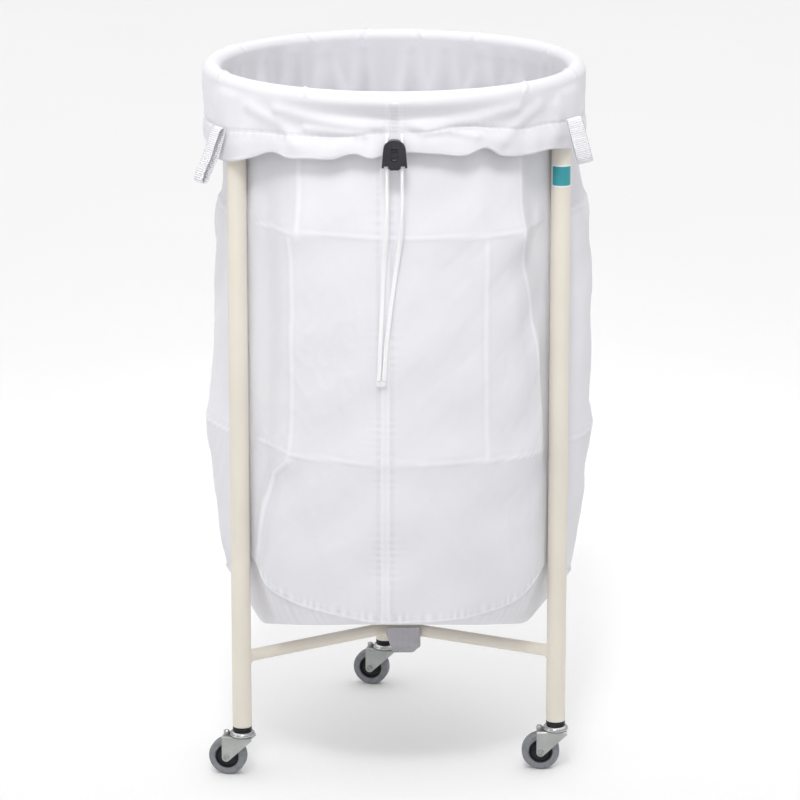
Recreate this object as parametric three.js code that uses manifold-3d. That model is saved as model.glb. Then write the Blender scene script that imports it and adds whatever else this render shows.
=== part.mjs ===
// Hospital linen trolley. A round hoop stands on three castored legs that a three-way
// brace ties together at the foot. A laundry bag hangs inside the legs with its mouth
// folded over the hoop as a cuff, and a drawcord in the cuff's hem pulls it in.
// Millimetres, +Z up. The origin is on the floor under the middle of the trolley, and
// the front, where the cord lock hangs, faces -Y. Directions are degrees from +X.

import * as THREE from 'three';
import { mergeVertices } from 'three/addons/utils/BufferGeometryUtils.js';
import Module from 'manifold-3d';

const wasm = await Module();
wasm.setup();

// Clearance that neighbouring pieces keep
const GAP = 0.3;

// Welded tube frame
const LEG_DIRECTIONS = { back: 90, left: 210, right: 330 };
const LEG_CIRCLE = 240;
const LEG_DIAMETER = 25.4;
const LEG_BOTTOM = 67;
const TUBE_WALL = 1.5;
const HOOP_RADIUS = 237;
const HOOP_DIAMETER = 22;
const HOOP_HEIGHT = 923.4;
const HOOP_SIDES = 12;
const VENT_DIAMETER = 8;
const STRUT_DIAMETER = 16;
const STRUT_HEIGHT = 162.2;
const AROUND = 36;

// Castors
const TRAIL_DIRECTIONS = { back: 163, left: 165, right: 176 };
const TRAIL = 19.5;
const WHEEL_DIAMETER = 50;
const TREAD_WIDTH = 18;
const HUB_RADIUS = 15.6;
const SOCKET_LENGTH = 39;
const STEM_DIAMETER = 11;
const KINGPIN_DIAMETER = 8;
const CROWN_HEIGHT = 52;
const FORK_SHEET = 2;
const FORK_WIDTH = 26;
const FORK_REACH = 15.2;
const FORK_TOE = 5.6;
const LUG_PLACE = 21.3;
const BALLS = 8;
const BALL_CIRCLE = 11;
const AXLE_DIAMETER = 6;

// Laundry bag: one sheet from the middle of its base, up inside the legs, over the
// hoop and down outside the legs to the hem
const CLOTH = 1;
const FRONT = 267;
const BODY_RADIUS = 226.2;
const FRONT_PANEL = 224;
const BULGES = { 30: 34, 150: 18, 270: 22 };
const BASE_HEIGHT = 171.2;
const WALL_FOOT = 248;
const BULGE_TOP = 850;
const BULGE_FULL = 715;
const BULGE_EASE = 430;
const CUFF_OVER_LEG = 253.9;
const HEM_HEIGHT = 858;
const HEM_DROP = 20;
const HEM_DEPTH = 32;
const HEM_CHANNEL = 6.6;
const HEM_RADIUS = 237.5;
const HEM_OVER_LEG = 261.2;

// The cloth follows a leg fully within the first angle from it and not past the second.
const LEG_HUG = [4, 30];
const PANEL_SPREAD = 50;
const BASE_SLOPE_SPREAD = [25, 60];

// Drawcord and cord lock
const CORD_DIAMETER = 3;
const CORD_SPACING = 19;
const CORD_STANDOFF = 246;
const CORD_OVER_PANEL = 228.2;
const EYELET_HEIGHT = 882;
const SEAL = { across: -16.5, height: 558, size: [13.4, 3.4, 7] };
const LOCK_BOTTOM = 838.5;
const LOCK_HEIGHT = 38;
const LOCK_WIDTH = 32;
const LOCK_SHOULDER = 26;
const LOCK_DEPTH = 10;
const LOCK_WALL = 2;
const KNOB_DIAMETER = 7.6;
const KNOB_HEIGHT = 857.5;
const SLOT_BOTTOM = 849;
const SLOT_TOP = 867.8;
const ROLLER_DIAMETER = 14;
const ROLLER_TEETH = 12;

// Webbing and label
const WEBBING = 1.6;
const WEBBING_WIDTH = 20;
const LEFT_LOOP_AT = { direction: 207, out: 266.2, height: 873 };
const RIGHT_LOOP_AT = { x: 219, y: -164, z: 887, lean: -15 };
const TAB = { left: -13.5, right: 33.4, top: 171.6, bottom: 135.5, front: -32.6, depth: 3 };
const LABEL = { bottom: 790.5, height: 28.5, direction: 270, halfAngle: 70, depth: 0.4 };

const radians = THREE.MathUtils.degToRad;
const smoothstep = THREE.MathUtils.smoothstep;
const lerp = THREE.MathUtils.lerp;

const PAINT = { color: 0xe3dcd0, roughness: 0.4, metalness: 0 };
const CHROME = { color: 0xc8c8c6, roughness: 0.18, metalness: 1 };
const ZINC = { color: 0xaeb0ae, roughness: 0.38, metalness: 1 };
const BLACK_PLASTIC = { color: 0x1b1b1e, roughness: 0.5, metalness: 0 };
const TYRE_RUBBER = { color: 0x82858c, roughness: 0.7, metalness: 0 };
const BAG_CLOTH = { color: 0xe1e1e6, roughness: 0.85, metalness: 0, side: THREE.DoubleSide };
const CORD_BRAID = { color: 0xf0f0f2, roughness: 0.9, metalness: 0 };
const WEBBING_CLOTH = { color: 0xe6e5e8, roughness: 0.9, metalness: 0 };
const LABEL_FILM = { color: 0x1c8f9a, roughness: 0.35, metalness: 0 };

const trolley = new THREE.Group();

function addPiece(group, name, geometry, material) {
  const mesh = new THREE.Mesh(geometry, new THREE.MeshStandardMaterial(material));
  mesh.name = name;
  group.add(mesh);
  return mesh;
}

// Shared vertices are merged, collapsed triangles dropped and the faces turned outwards.
function weld(geometry) {
  const bare = geometry.clone();
  for (const name of Object.keys(bare.attributes)) {
    if (name !== 'position') bare.deleteAttribute(name);
  }
  const merged = mergeVertices(bare, 1e-3);
  const corners = merged.index.array;
  const kept = [];
  for (let i = 0; i < corners.length; i += 3) {
    const [a, b, c] = corners.slice(i, i + 3);
    if (a !== b && b !== c && c !== a) kept.push(a, b, c);
  }
  merged.setIndex(kept);
  if (signedVolume(merged) < 0) merged.setIndex(kept.reverse());
  return merged;
}

function signedVolume(geometry) {
  const place = geometry.attributes.position;
  const corners = geometry.index.array;
  const [a, b, c] = [new THREE.Vector3(), new THREE.Vector3(), new THREE.Vector3()];
  let volume = 0;
  for (let i = 0; i < corners.length; i += 3) {
    a.fromBufferAttribute(place, corners[i]);
    b.fromBufferAttribute(place, corners[i + 1]);
    c.fromBufferAttribute(place, corners[i + 2]);
    volume += a.dot(b.cross(c)) / 6;
  }
  return volume;
}

function toSolid(geometry) {
  const welded = weld(geometry);
  const vertProperties = new Float32Array(welded.attributes.position.array);
  const triVerts = new Uint32Array(welded.index.array);
  return new wasm.Manifold(new wasm.Mesh({ numProp: 3, vertProperties, triVerts }));
}

function toGeometry(solid) {
  const { vertProperties, triVerts } = solid.getMesh();
  const geometry = new THREE.BufferGeometry();
  geometry.setAttribute('position', new THREE.BufferAttribute(vertProperties, 3));
  geometry.setIndex(new THREE.BufferAttribute(triVerts, 1));
  geometry.computeVertexNormals();
  return geometry;
}

function outlineShape(points) {
  return new THREE.Shape(points.map(([x, y]) => new THREE.Vector2(x, y)));
}

// A slab of an outline drawn in the plane across its thickness: from z = 0 up.
function slab(shape, depth) {
  return new THREE.ExtrudeGeometry(shape, { depth, bevelEnabled: false, curveSegments: 6 });
}

// A slab of an outline drawn in X and Z, centred on Y = 0.
function upright(shape, depth) {
  const geometry = slab(shape, depth);
  geometry.rotateX(Math.PI / 2);
  geometry.translate(0, depth / 2, 0);
  return geometry;
}

// A turned piece about the Z axis, from a profile of [radius, height].
function turned(profile, segments) {
  const closed = [...profile, profile[0]];
  const points = closed.map(([radius, height]) => new THREE.Vector2(radius, height));
  const geometry = new THREE.LatheGeometry(points, segments);
  geometry.rotateX(Math.PI / 2);
  return weld(geometry);
}

function rod(diameter, from, to, sides) {
  const geometry = new THREE.CylinderGeometry(diameter / 2, diameter / 2, to - from, sides);
  geometry.rotateX(Math.PI / 2);
  geometry.translate(0, 0, (from + to) / 2);
  return geometry;
}

function polar(direction, radius, height) {
  const angle = radians(direction);
  return new THREE.Vector3(radius * Math.cos(angle), radius * Math.sin(angle), height);
}

function hoopTorus(diameter, sides) {
  const geometry = new THREE.TorusGeometry(HOOP_RADIUS, diameter / 2, sides, AROUND);
  geometry.translate(0, 0, HOOP_HEIGHT);
  return toSolid(geometry);
}

function legBar(direction, diameter, from, to) {
  const geometry = rod(diameter, from, to, 24);
  const foot = polar(direction, LEG_CIRCLE, 0);
  geometry.translate(foot.x, foot.y, 0);
  return toSolid(geometry);
}

function makeHoop() {
  let hoop = hoopTorus(HOOP_DIAMETER, HOOP_SIDES);
  hoop = hoop.subtract(hoopTorus(HOOP_DIAMETER - 2 * TUBE_WALL, 8));
  for (const direction of Object.values(LEG_DIRECTIONS)) {
    const vent = rod(VENT_DIAMETER, HOOP_HEIGHT - HOOP_DIAMETER, HOOP_HEIGHT, 10);
    const place = polar(direction, HOOP_RADIUS + 1, 0);
    vent.translate(place.x, place.y, 0);
    hoop = hoop.subtract(toSolid(vent));
  }
  addPiece(trolley, 'hoop', toGeometry(hoop), PAINT);
}

function makeLegs() {
  const top = HOOP_HEIGHT - 9.5;
  const underHoop = hoopTorus(HOOP_DIAMETER + 2 * GAP, HOOP_SIDES);
  for (const [side, direction] of Object.entries(LEG_DIRECTIONS)) {
    const bore = legBar(direction, LEG_DIAMETER - 2 * TUBE_WALL, 0, HOOP_HEIGHT);
    const leg = legBar(direction, LEG_DIAMETER, LEG_BOTTOM, top).subtract(bore).subtract(underHoop);
    addPiece(trolley, `leg_${side}`, toGeometry(leg), PAINT);
  }
}

// The struts meet at the middle in three mitres of 120 degrees.
function makeStruts() {
  const apex = 0.2;
  const flare = 60;
  const rise = (flare - apex) * Math.tan(radians(60));
  const wedge = slab(outlineShape([
    [apex, 0], [flare, rise], [LEG_CIRCLE, rise], [LEG_CIRCLE, -rise], [flare, -rise],
  ]), 2 * STRUT_DIAMETER);
  wedge.translate(0, 0, STRUT_HEIGHT - STRUT_DIAMETER);
  for (const [side, direction] of Object.entries(LEG_DIRECTIONS)) {
    const bar = rod(STRUT_DIAMETER, -20, LEG_CIRCLE, 16);
    const bore = rod(STRUT_DIAMETER - 2 * TUBE_WALL, -30, LEG_CIRCLE + 10, 12);
    const mitre = wedge.clone();
    for (const geometry of [bar, bore]) {
      geometry.rotateY(Math.PI / 2);
      geometry.translate(0, 0, STRUT_HEIGHT);
    }
    for (const geometry of [bar, bore, mitre]) geometry.rotateZ(radians(direction));
    const leg = legBar(direction, LEG_DIAMETER + 2 * GAP, 0, HOOP_HEIGHT);
    const strut = toSolid(bar).intersect(toSolid(mitre)).subtract(toSolid(bore)).subtract(leg);
    addPiece(trolley, `strut_${side}`, toGeometry(strut), PAINT);
  }
}

// Plastic insert that grips the castor's stem in the leg, with a grooved flange below.
function socketGeometry() {
  const flange = LEG_DIAMETER / 2;
  const body = flange - TUBE_WALL - GAP;
  const bore = STEM_DIAMETER / 2 + GAP;
  const low = LEG_BOTTOM - 6;
  const high = LEG_BOTTOM - GAP;
  const top = LEG_BOTTOM + SOCKET_LENGTH;
  return turned([
    [bore, low], [flange - 0.6, low], [flange, low + 0.8], [flange, low + 2.2],
    [flange - 0.8, low + 2.8], [flange, low + 3.4], [flange, high], [body, high],
    [body, top], [0, top], [0, top - 4.5], [bore, top - 4.5],
  ], 14);
}

// Grip-ring stem, stepped down to the kingpin whose head holds the fork up.
function stemGeometry() {
  const pin = KINGPIN_DIAMETER / 2;
  const stem = STEM_DIAMETER / 2;
  const head = CROWN_HEIGHT - 0.4;
  const top = LEG_BOTTOM + SOCKET_LENGTH - 5.5;
  return turned([
    [0, head - 2], [6, head - 2], [6, head], [pin, head], [pin, head + 6.4],
    [stem, head + 6.4], [stem, top - 4], [stem - 0.9, top - 4], [stem - 0.9, top - 2.5],
    [stem, top - 2.5], [stem - 1, top], [0, top],
  ], 12);
}

// Domed upper race over the balls.
function raceGeometry() {
  const bore = STEM_DIAMETER / 2 + GAP;
  const crown = CROWN_HEIGHT + FORK_SHEET;
  return turned([
    [bore, crown + 6.7], [12.5, crown + 6.7], [15.4, crown + 4.9], [16.8, crown + 2.4],
    [16.8, crown + 0.5], [15.6, crown + 0.5], [15.6, crown + 2.4], [14.2, crown + 4.2],
    [11.8, crown + 5.3], [bore, crown + 5.3],
  ], 18);
}

function ballRingGeometry() {
  const height = CROWN_HEIGHT + FORK_SHEET + 2.4;
  let ring = toSolid(turned([
    [BALL_CIRCLE - 1, height - 0.8], [BALL_CIRCLE + 1, height - 0.8],
    [BALL_CIRCLE + 1, height + 0.8], [BALL_CIRCLE - 1, height + 0.8],
  ], 12));
  for (let i = 0; i < BALLS; i += 1) {
    const ball = new THREE.SphereGeometry(1.9, 5, 3);
    const place = polar((360 * i) / BALLS, BALL_CIRCLE, height);
    ball.translate(place.x, place.y, place.z);
    ring = ring.add(toSolid(ball));
  }
  return toGeometry(ring);
}

// Pressed fork: a bent channel cut to the cheeks' side outline, with its axle holes,
// its kingpin hole and the lug that stands on the trailing end of the crown.
function forkGeometry() {
  const axle = WHEEL_DIAMETER / 2;
  const top = CROWN_HEIGHT + FORK_SHEET;
  const half = FORK_WIDTH / 2;
  const bend = 3;
  const channel = new THREE.Shape();
  channel.moveTo(-half, 0);
  channel.lineTo(-half, top - bend);
  channel.absarc(-half + bend, top - bend, bend, Math.PI, Math.PI / 2, true);
  channel.lineTo(half - bend, top);
  channel.absarc(half - bend, top - bend, bend, Math.PI / 2, 0, true);
  channel.lineTo(half, 0);
  channel.lineTo(half - FORK_SHEET, 0);
  channel.lineTo(half - FORK_SHEET, CROWN_HEIGHT);
  channel.lineTo(FORK_SHEET - half, CROWN_HEIGHT);
  channel.lineTo(FORK_SHEET - half, 0);
  const options = { depth: 60, bevelEnabled: false, curveSegments: 3 };
  const bent = new THREE.ExtrudeGeometry(channel, options);
  bent.rotateX(Math.PI / 2);
  bent.rotateZ(Math.PI / 2);
  bent.translate(-25, 0, 0);

  const side = new THREE.Shape();
  side.moveTo(-FORK_REACH, top + 1);
  side.lineTo(TRAIL + FORK_TOE, top + 1);
  side.lineTo(TRAIL + FORK_TOE, axle);
  side.absarc(TRAIL, axle, FORK_TOE, 0, radians(-130), true);
  side.lineTo(-FORK_REACH, CROWN_HEIGHT - 2);
  let fork = toSolid(bent).intersect(toSolid(upright(side, 40)));

  const lug = turned([[0, top - 1], [4, top - 1], [4, top + 4.2], [2.8, top + 5.6], [0, top + 6]], 12);
  lug.translate(LUG_PLACE, 0, 0);
  const kingpinHole = rod(KINGPIN_DIAMETER + 2 * GAP, 40, 60, 12);
  const axleHole = rod(AXLE_DIAMETER + 2 * GAP, -30, 30, 12);
  axleHole.rotateX(Math.PI / 2);
  axleHole.translate(TRAIL, 0, axle);
  fork = fork.add(toSolid(lug)).subtract(toSolid(kingpinHole)).subtract(toSolid(axleHole));
  return toGeometry(fork);
}

function axleProfile() {
  const shaft = AXLE_DIAMETER / 2;
  const face = FORK_WIDTH / 2 + GAP;
  const headHalf = [[4.2, face], [4.2, face + 0.8], [3.4, face + 1.2], [1.8, face + 1.1], [0, face + 0.8]];
  const lower = headHalf.map(([radius, place]) => [radius, -place]).reverse();
  return [...lower, [shaft, -face], [shaft, face], ...headHalf];
}

function hubProfile() {
  const bore = AXLE_DIAMETER / 2 + GAP;
  const half = [[HUB_RADIUS, 8.4], [14.2, 8], [13.2, 4.6], [5.2, 5], [5.2, 10.6], [bore, 10.6]];
  const lower = half.map(([radius, place]) => [radius, -place]).reverse();
  return [...lower, ...half];
}

// The tread is circumscribed, so that the wheel stands on a flat facet at its radius.
function tyreProfile(segments) {
  const stretch = 1 / Math.cos(Math.PI / segments);
  const outer = (WHEEL_DIAMETER / 2) * stretch;
  const inner = HUB_RADIUS + GAP;
  const edge = TREAD_WIDTH / 2;
  const half = [[outer, 4.5], [outer - 0.5, 6.6], [outer - 1.9, edge - 0.7], [21, edge], [inner, edge - 0.9]];
  const lower = half.map(([radius, place]) => [radius, -place]).reverse();
  return [...lower, ...half];
}

// A turned piece laid on the wheel's axle. A facet's middle points straight down.
function onAxle(profile, segments) {
  const geometry = turned(profile, segments);
  geometry.rotateZ(Math.PI / segments - Math.PI / 2);
  geometry.rotateX(Math.PI / 2);
  geometry.translate(TRAIL, 0, WHEEL_DIAMETER / 2);
  return geometry;
}

function makeCastors() {
  const treadSegments = 28;
  for (const [side, direction] of Object.entries(LEG_DIRECTIONS)) {
    const leg = new THREE.Group();
    leg.position.copy(polar(direction, LEG_CIRCLE, 0));
    leg.rotation.z = radians(TRAIL_DIRECTIONS[side]);
    trolley.add(leg);
    addPiece(leg, `castor_socket_${side}`, socketGeometry(), BLACK_PLASTIC);
    addPiece(leg, `castor_stem_${side}`, stemGeometry(), ZINC);
    addPiece(leg, `castor_race_${side}`, raceGeometry(), CHROME);
    addPiece(leg, `castor_ball_ring_${side}`, ballRingGeometry(), CHROME);
    addPiece(leg, `castor_fork_${side}`, forkGeometry(), ZINC);
    addPiece(leg, `castor_axle_${side}`, onAxle(axleProfile(), 10), ZINC);
    addPiece(leg, `wheel_hub_${side}`, onAxle(hubProfile(), 18), BLACK_PLASTIC);
    addPiece(leg, `wheel_tyre_${side}`, onAxle(tyreProfile(treadSegments), treadSegments), TYRE_RUBBER);
  }
}

function angleBetween(a, b) {
  const turn = Math.abs((((a - b) % 360) + 360) % 360);
  return Math.min(turn, 360 - turn);
}

function angleFromLeg(direction) {
  return Math.min(...Object.values(LEG_DIRECTIONS).map((leg) => angleBetween(direction, leg)));
}

// Radius of the bag's wall: snug inside each leg, bulging between them, and flattened
// to one panel across the front.
function wallRadius(direction, height) {
  const [bulgeCentre] = Object.keys(BULGES).sort(
    (a, b) => angleBetween(direction, Number(a)) - angleBetween(direction, Number(b)),
  );
  const aside = smoothstep(angleFromLeg(direction), ...LEG_HUG);
  const upper = 1 - smoothstep(height, BULGE_FULL, BULGE_TOP);
  const lower = lerp(0.25, 1, smoothstep(height, WALL_FOOT, BULGE_EASE));
  const bulged = BODY_RADIUS + BULGES[bulgeCentre] * aside * upper * lower;
  const fromFront = angleBetween(direction, FRONT);
  if (fromFront > PANEL_SPREAD) return bulged;
  return Math.min(bulged, FRONT_PANEL / Math.cos(radians(fromFront)));
}

// The base lies on the brace, bowls up at the sides and slopes up straight at the front.
function baseHeight(direction, fraction) {
  const frontness = 1 - smoothstep(angleBetween(direction, FRONT), ...BASE_SLOPE_SPREAD);
  const bowl = 1 - Math.sqrt(Math.max(0, 1 - fraction ** 3));
  return BASE_HEIGHT + (WALL_FOOT - BASE_HEIGHT) * lerp(bowl, fraction, frontness);
}

function nearLeg(direction) {
  return 1 - smoothstep(angleFromLeg(direction), ...LEG_HUG);
}

function hemRadius(direction) {
  return lerp(HEM_RADIUS, HEM_OVER_LEG, nearLeg(direction));
}

function hemHeight(direction) {
  return HEM_HEIGHT - HEM_DROP * (1 - Math.cos(radians(2 * (direction - FRONT)))) / 2;
}

// The sheet's middle line at one direction, as [radius, height], from the base's
// middle to the free edge inside the hem.
function sheetLine(direction) {
  const line = [];
  const foot = wallRadius(direction, WALL_FOOT);
  for (const fraction of [0, 0.25, 0.5, 0.72, 0.88, 0.97]) {
    line.push([foot * fraction, baseHeight(direction, fraction)]);
  }
  for (const height of [WALL_FOOT, 340, BULGE_EASE, 570, BULGE_FULL, 785, BULGE_TOP]) {
    line.push([wallRadius(direction, height), height]);
  }
  const roll = HOOP_DIAMETER / 2 + GAP + CLOTH / 2;
  for (let turn = 180; turn >= 0; turn -= 360 / HOOP_SIDES) {
    const angle = radians(turn);
    line.push([HOOP_RADIUS + roll * Math.cos(angle), HOOP_HEIGHT + roll * Math.sin(angle)]);
  }
  const overLeg = lerp(HOOP_RADIUS + roll, CUFF_OVER_LEG, nearLeg(direction));
  line.push([overLeg, HOOP_HEIGHT - 9.5]);
  const outside = hemRadius(direction);
  const inside = outside - HEM_CHANNEL - CLOTH;
  const low = hemHeight(direction) + CLOTH / 2;
  line.push([lerp(overLeg, outside, 0.9), low + HEM_DEPTH + 4]);
  line.push([outside, low + HEM_DEPTH * 0.7], [outside, low + 2], [outside - 2, low]);
  line.push([inside + 2, low], [inside, low + 2], [inside, low + HEM_DEPTH]);
  return line;
}

// One face of the sheet: its middle line moved sideways by half the cloth.
function offsetLine(line, offset) {
  return line.map(([radius, height], i) => {
    if (i === 0) return [0, height - offset];
    const [before, after] = [line[i - 1], line[Math.min(i + 1, line.length - 1)]];
    const along = new THREE.Vector2(after[0] - before[0], after[1] - before[1]).normalize();
    return [radius + along.y * offset, height - along.x * offset];
  });
}

function eyeletSolid(place) {
  const hole = rod(CORD_DIAMETER + 1.4, HEM_RADIUS - 4, HEM_RADIUS + 12, 10);
  hole.rotateX(Math.PI / 2);
  hole.rotateZ(radians(FRONT + 90));
  hole.translate(place.x, place.y, EYELET_HEIGHT);
  return toSolid(hole);
}

// A point in front of the hem: across to the right of the front's middle, out from the
// trolley's axis, and up.
function frontPlace(across, out, height) {
  const middle = polar(FRONT, out, height);
  return middle.add(polar(FRONT + 90, across, 0));
}

function makeBag() {
  const positions = [];
  for (let j = 0; j < AROUND; j += 1) {
    const direction = (360 * j) / AROUND;
    const line = sheetLine(direction);
    const section = [...offsetLine(line, CLOTH / 2), ...offsetLine(line, -CLOTH / 2).reverse()];
    for (const [radius, height] of section) positions.push(...polar(direction, radius, height));
  }
  const ring = positions.length / 3 / AROUND;
  const corners = [];
  for (let j = 0; j < AROUND; j += 1) {
    const here = j * ring;
    const next = ((j + 1) % AROUND) * ring;
    for (let i = 0; i < ring - 1; i += 1) {
      corners.push(here + i, next + i, next + i + 1, here + i, next + i + 1, here + i + 1);
    }
  }
  const geometry = new THREE.BufferGeometry();
  geometry.setAttribute('position', new THREE.Float32BufferAttribute(positions, 3));
  geometry.setIndex(corners);
  let bag = toSolid(geometry);
  for (const across of [-CORD_SPACING / 2, CORD_SPACING / 2]) {
    bag = bag.subtract(eyeletSolid(frontPlace(across, 0, 0)));
  }
  addPiece(trolley, 'linen_bag', toGeometry(bag), BAG_CLOTH);
}

function cordGeometry(places, steps) {
  const section = new THREE.Shape();
  section.absarc(0, 0, CORD_DIAMETER / 2, 0, 2 * Math.PI, false);
  const path = new THREE.CatmullRomCurve3(places);
  const options = { steps, extrudePath: path, bevelEnabled: false, curveSegments: 4 };
  return weld(new THREE.ExtrudeGeometry(section, options));
}

// A point on the faceted ring whose corners stand AROUND to the turn.
function onFacet(direction, radiusAt, heightAt) {
  const step = 360 / AROUND;
  const before = Math.floor(direction / step) * step;
  const [start, end] = [before, before + step].map((corner) => (
    polar(corner, radiusAt(corner), heightAt(corner))
  ));
  return start.lerp(end, (direction - before) / step);
}

// The part of the drawcord that runs round inside the hem and rises to the eyelets.
function makeHiddenCord() {
  const spread = (CORD_SPACING / 2 / HEM_RADIUS) * (180 / Math.PI);
  const stations = 71;
  const places = [];
  for (let i = 0; i <= stations; i += 1) {
    const fromFront = lerp(spread, 360 - spread, i / stations);
    const direction = FRONT + fromFront;
    const rise = 1 - smoothstep(Math.min(fromFront, 360 - fromFront), spread + 1, 22);
    const channelRadius = (corner) => hemRadius(corner) - (CLOTH + HEM_CHANNEL) / 2;
    const place = onFacet(direction, channelRadius, hemHeight);
    place.z = lerp(place.z + CLOTH + CORD_DIAMETER, EYELET_HEIGHT, rise);
    places.push(place);
  }
  addPiece(trolley, 'drawcord_in_hem', cordGeometry(places, stations), CORD_BRAID);
}

// The hanging ends: out of the eyelets, straight down through the lock, then down the
// front of the bag, where the right strand drifts over to the left one.
// The straight run's points are [out, height]; the drapes' are [across, out, height].
const STRAIGHT_RUN = [
  [240.8, 882.5], [243.6, 880.5], [CORD_STANDOFF, 875], [CORD_STANDOFF, 850],
  [CORD_STANDOFF, 815], [CORD_STANDOFF, 780],
];
const DRAPES = {
  left: [
    [-10.4, 241.2, 755], [-12, 233.5, 728], [-13.6, 229, 700], [-15.2, CORD_OVER_PANEL, 665],
    [-16.8, CORD_OVER_PANEL, 630], [-18.4, CORD_OVER_PANEL, 595], [-19.8, CORD_OVER_PANEL, 562],
  ],
  right: [
    [8, 241.2, 755], [5, 233.5, 728], [1.2, 229, 700], [-3.6, CORD_OVER_PANEL, 665],
    [-7.8, CORD_OVER_PANEL, 630], [-11.2, CORD_OVER_PANEL, 595], [-13.2, CORD_OVER_PANEL, 562],
  ],
};

function makeStrands() {
  for (const [side, drape] of Object.entries(DRAPES)) {
    const across = (Math.sign(drape[0][0]) * CORD_SPACING) / 2;
    const route = [...STRAIGHT_RUN.map((point) => [across, ...point]), ...drape];
    const places = route.map((point) => frontPlace(...point));
    addPiece(trolley, `drawcord_${side}_strand`, cordGeometry(places, 30), CORD_BRAID);
  }
  const seal = new THREE.BoxGeometry(...SEAL.size);
  seal.rotateZ(radians(FRONT + 90));
  const place = frontPlace(SEAL.across, CORD_OVER_PANEL, SEAL.height);
  seal.translate(place.x, place.y, place.z);
  addPiece(trolley, 'drawcord_end_seal', seal, CORD_BRAID);
}

// Places a piece drawn in X, Z and depth Y at the front, where +X runs to the right.
function ontoFront(geometry) {
  geometry.rotateZ(radians(FRONT + 90));
  const place = frontPlace(0, CORD_STANDOFF, 0);
  geometry.translate(place.x, place.y, 0);
  return geometry;
}

function lockShape() {
  const half = LOCK_WIDTH / 2;
  const shoulder = LOCK_SHOULDER / 2;
  const top = LOCK_BOTTOM + LOCK_HEIGHT;
  const outline = new THREE.Shape();
  outline.moveTo(-half, LOCK_BOTTOM + 3);
  outline.lineTo(-6, LOCK_BOTTOM + 1.5);
  outline.lineTo(-6, LOCK_BOTTOM);
  outline.lineTo(6, LOCK_BOTTOM);
  outline.lineTo(6, LOCK_BOTTOM + 1.5);
  outline.lineTo(half, LOCK_BOTTOM + 3);
  outline.lineTo(shoulder + 1, top - 12);
  outline.bezierCurveTo(shoulder, top - 4, 8, top, 0, top);
  outline.bezierCurveTo(-8, top, -shoulder, top - 4, -shoulder - 1, top - 12);
  return outline;
}

function slotShape(width, low, high) {
  const slot = new THREE.Shape();
  const radius = width / 2;
  slot.absarc(0, high - radius, radius, 0, Math.PI, false);
  slot.absarc(0, low + radius, radius, Math.PI, 2 * Math.PI, false);
  return slot;
}

function boxFrom(x, y, z) {
  const box = new THREE.BoxGeometry(x[1] - x[0], y[1] - y[0], z[1] - z[0]);
  box.translate((x[0] + x[1]) / 2, (y[0] + y[1]) / 2, (z[0] + z[1]) / 2);
  return box;
}

// The lock's shell: a chamber open below for the roller, a channel through each
// shoulder for a strand, a slot in both faces for the roller's knobs, and notches at
// the lower corners.
function makeLock() {
  const top = LOCK_BOTTOM + LOCK_HEIGHT;
  const inner = LOCK_DEPTH / 2 - LOCK_WALL;
  const reach = CORD_SPACING / 2 + CORD_DIAMETER / 2 + 0.7;
  let lock = toSolid(upright(lockShape(), LOCK_DEPTH));
  const chamber = boxFrom([-reach, reach], [-inner, inner], [LOCK_BOTTOM - 5, top - 5.4]);
  lock = lock.subtract(toSolid(chamber));
  lock = lock.subtract(toSolid(upright(slotShape(KNOB_DIAMETER + 0.8, SLOT_BOTTOM, SLOT_TOP), 30)));
  for (const hand of [-1, 1]) {
    const channel = rod(CORD_DIAMETER + 1.6, top - 12, top + 5, 10);
    channel.translate((hand * CORD_SPACING) / 2, 0, 0);
    const notch = boxFrom([hand * 10.5 - 2.6, hand * 10.5 + 2.6], [-10, 10], [LOCK_BOTTOM - 5, LOCK_BOTTOM + 5]);
    lock = lock.subtract(toSolid(channel)).subtract(toSolid(notch));
  }
  addPiece(trolley, 'cord_lock_body', ontoFront(toGeometry(lock)), BLACK_PLASTIC);

  const teeth = [];
  for (let i = 0; i < 2 * ROLLER_TEETH; i += 1) {
    const radius = ROLLER_DIAMETER / 2 - (i % 2 === 0 ? 0 : 1);
    const angle = (Math.PI * i) / ROLLER_TEETH;
    teeth.push([radius * Math.cos(angle), KNOB_HEIGHT + radius * Math.sin(angle)]);
  }
  const knob = rod(KNOB_DIAMETER, -LOCK_DEPTH / 2 + 0.4, LOCK_DEPTH / 2 - 0.4, 16);
  knob.rotateX(Math.PI / 2);
  knob.translate(0, 0, KNOB_HEIGHT);
  const roller = toSolid(upright(outlineShape(teeth), 2 * (inner - 0.4))).add(toSolid(knob));
  addPiece(trolley, 'cord_lock_roller', ontoFront(toGeometry(roller)), BLACK_PLASTIC);
}

// A strap sewn into a loop, seen from its edge, clockwise: [out, up] from where it is
// sewn on.
const LEFT_LOOP = [
  [-0.5, 0], [2.5, -2], [9, -14], [18, -36], [29, -58], [31, -66], [26, -68.5],
  [18, -58], [9, -42], [2, -24], [-3, -8], [-3, -2],
];
const RIGHT_LOOP = [
  [0, 0], [2.5, -2.5], [5, -16], [6.5, -36], [5, -54], [0, -60], [-4.5, -57],
  [-6, -45], [-6, -28], [-4.5, -12], [-2.5, -2.5],
];

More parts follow.
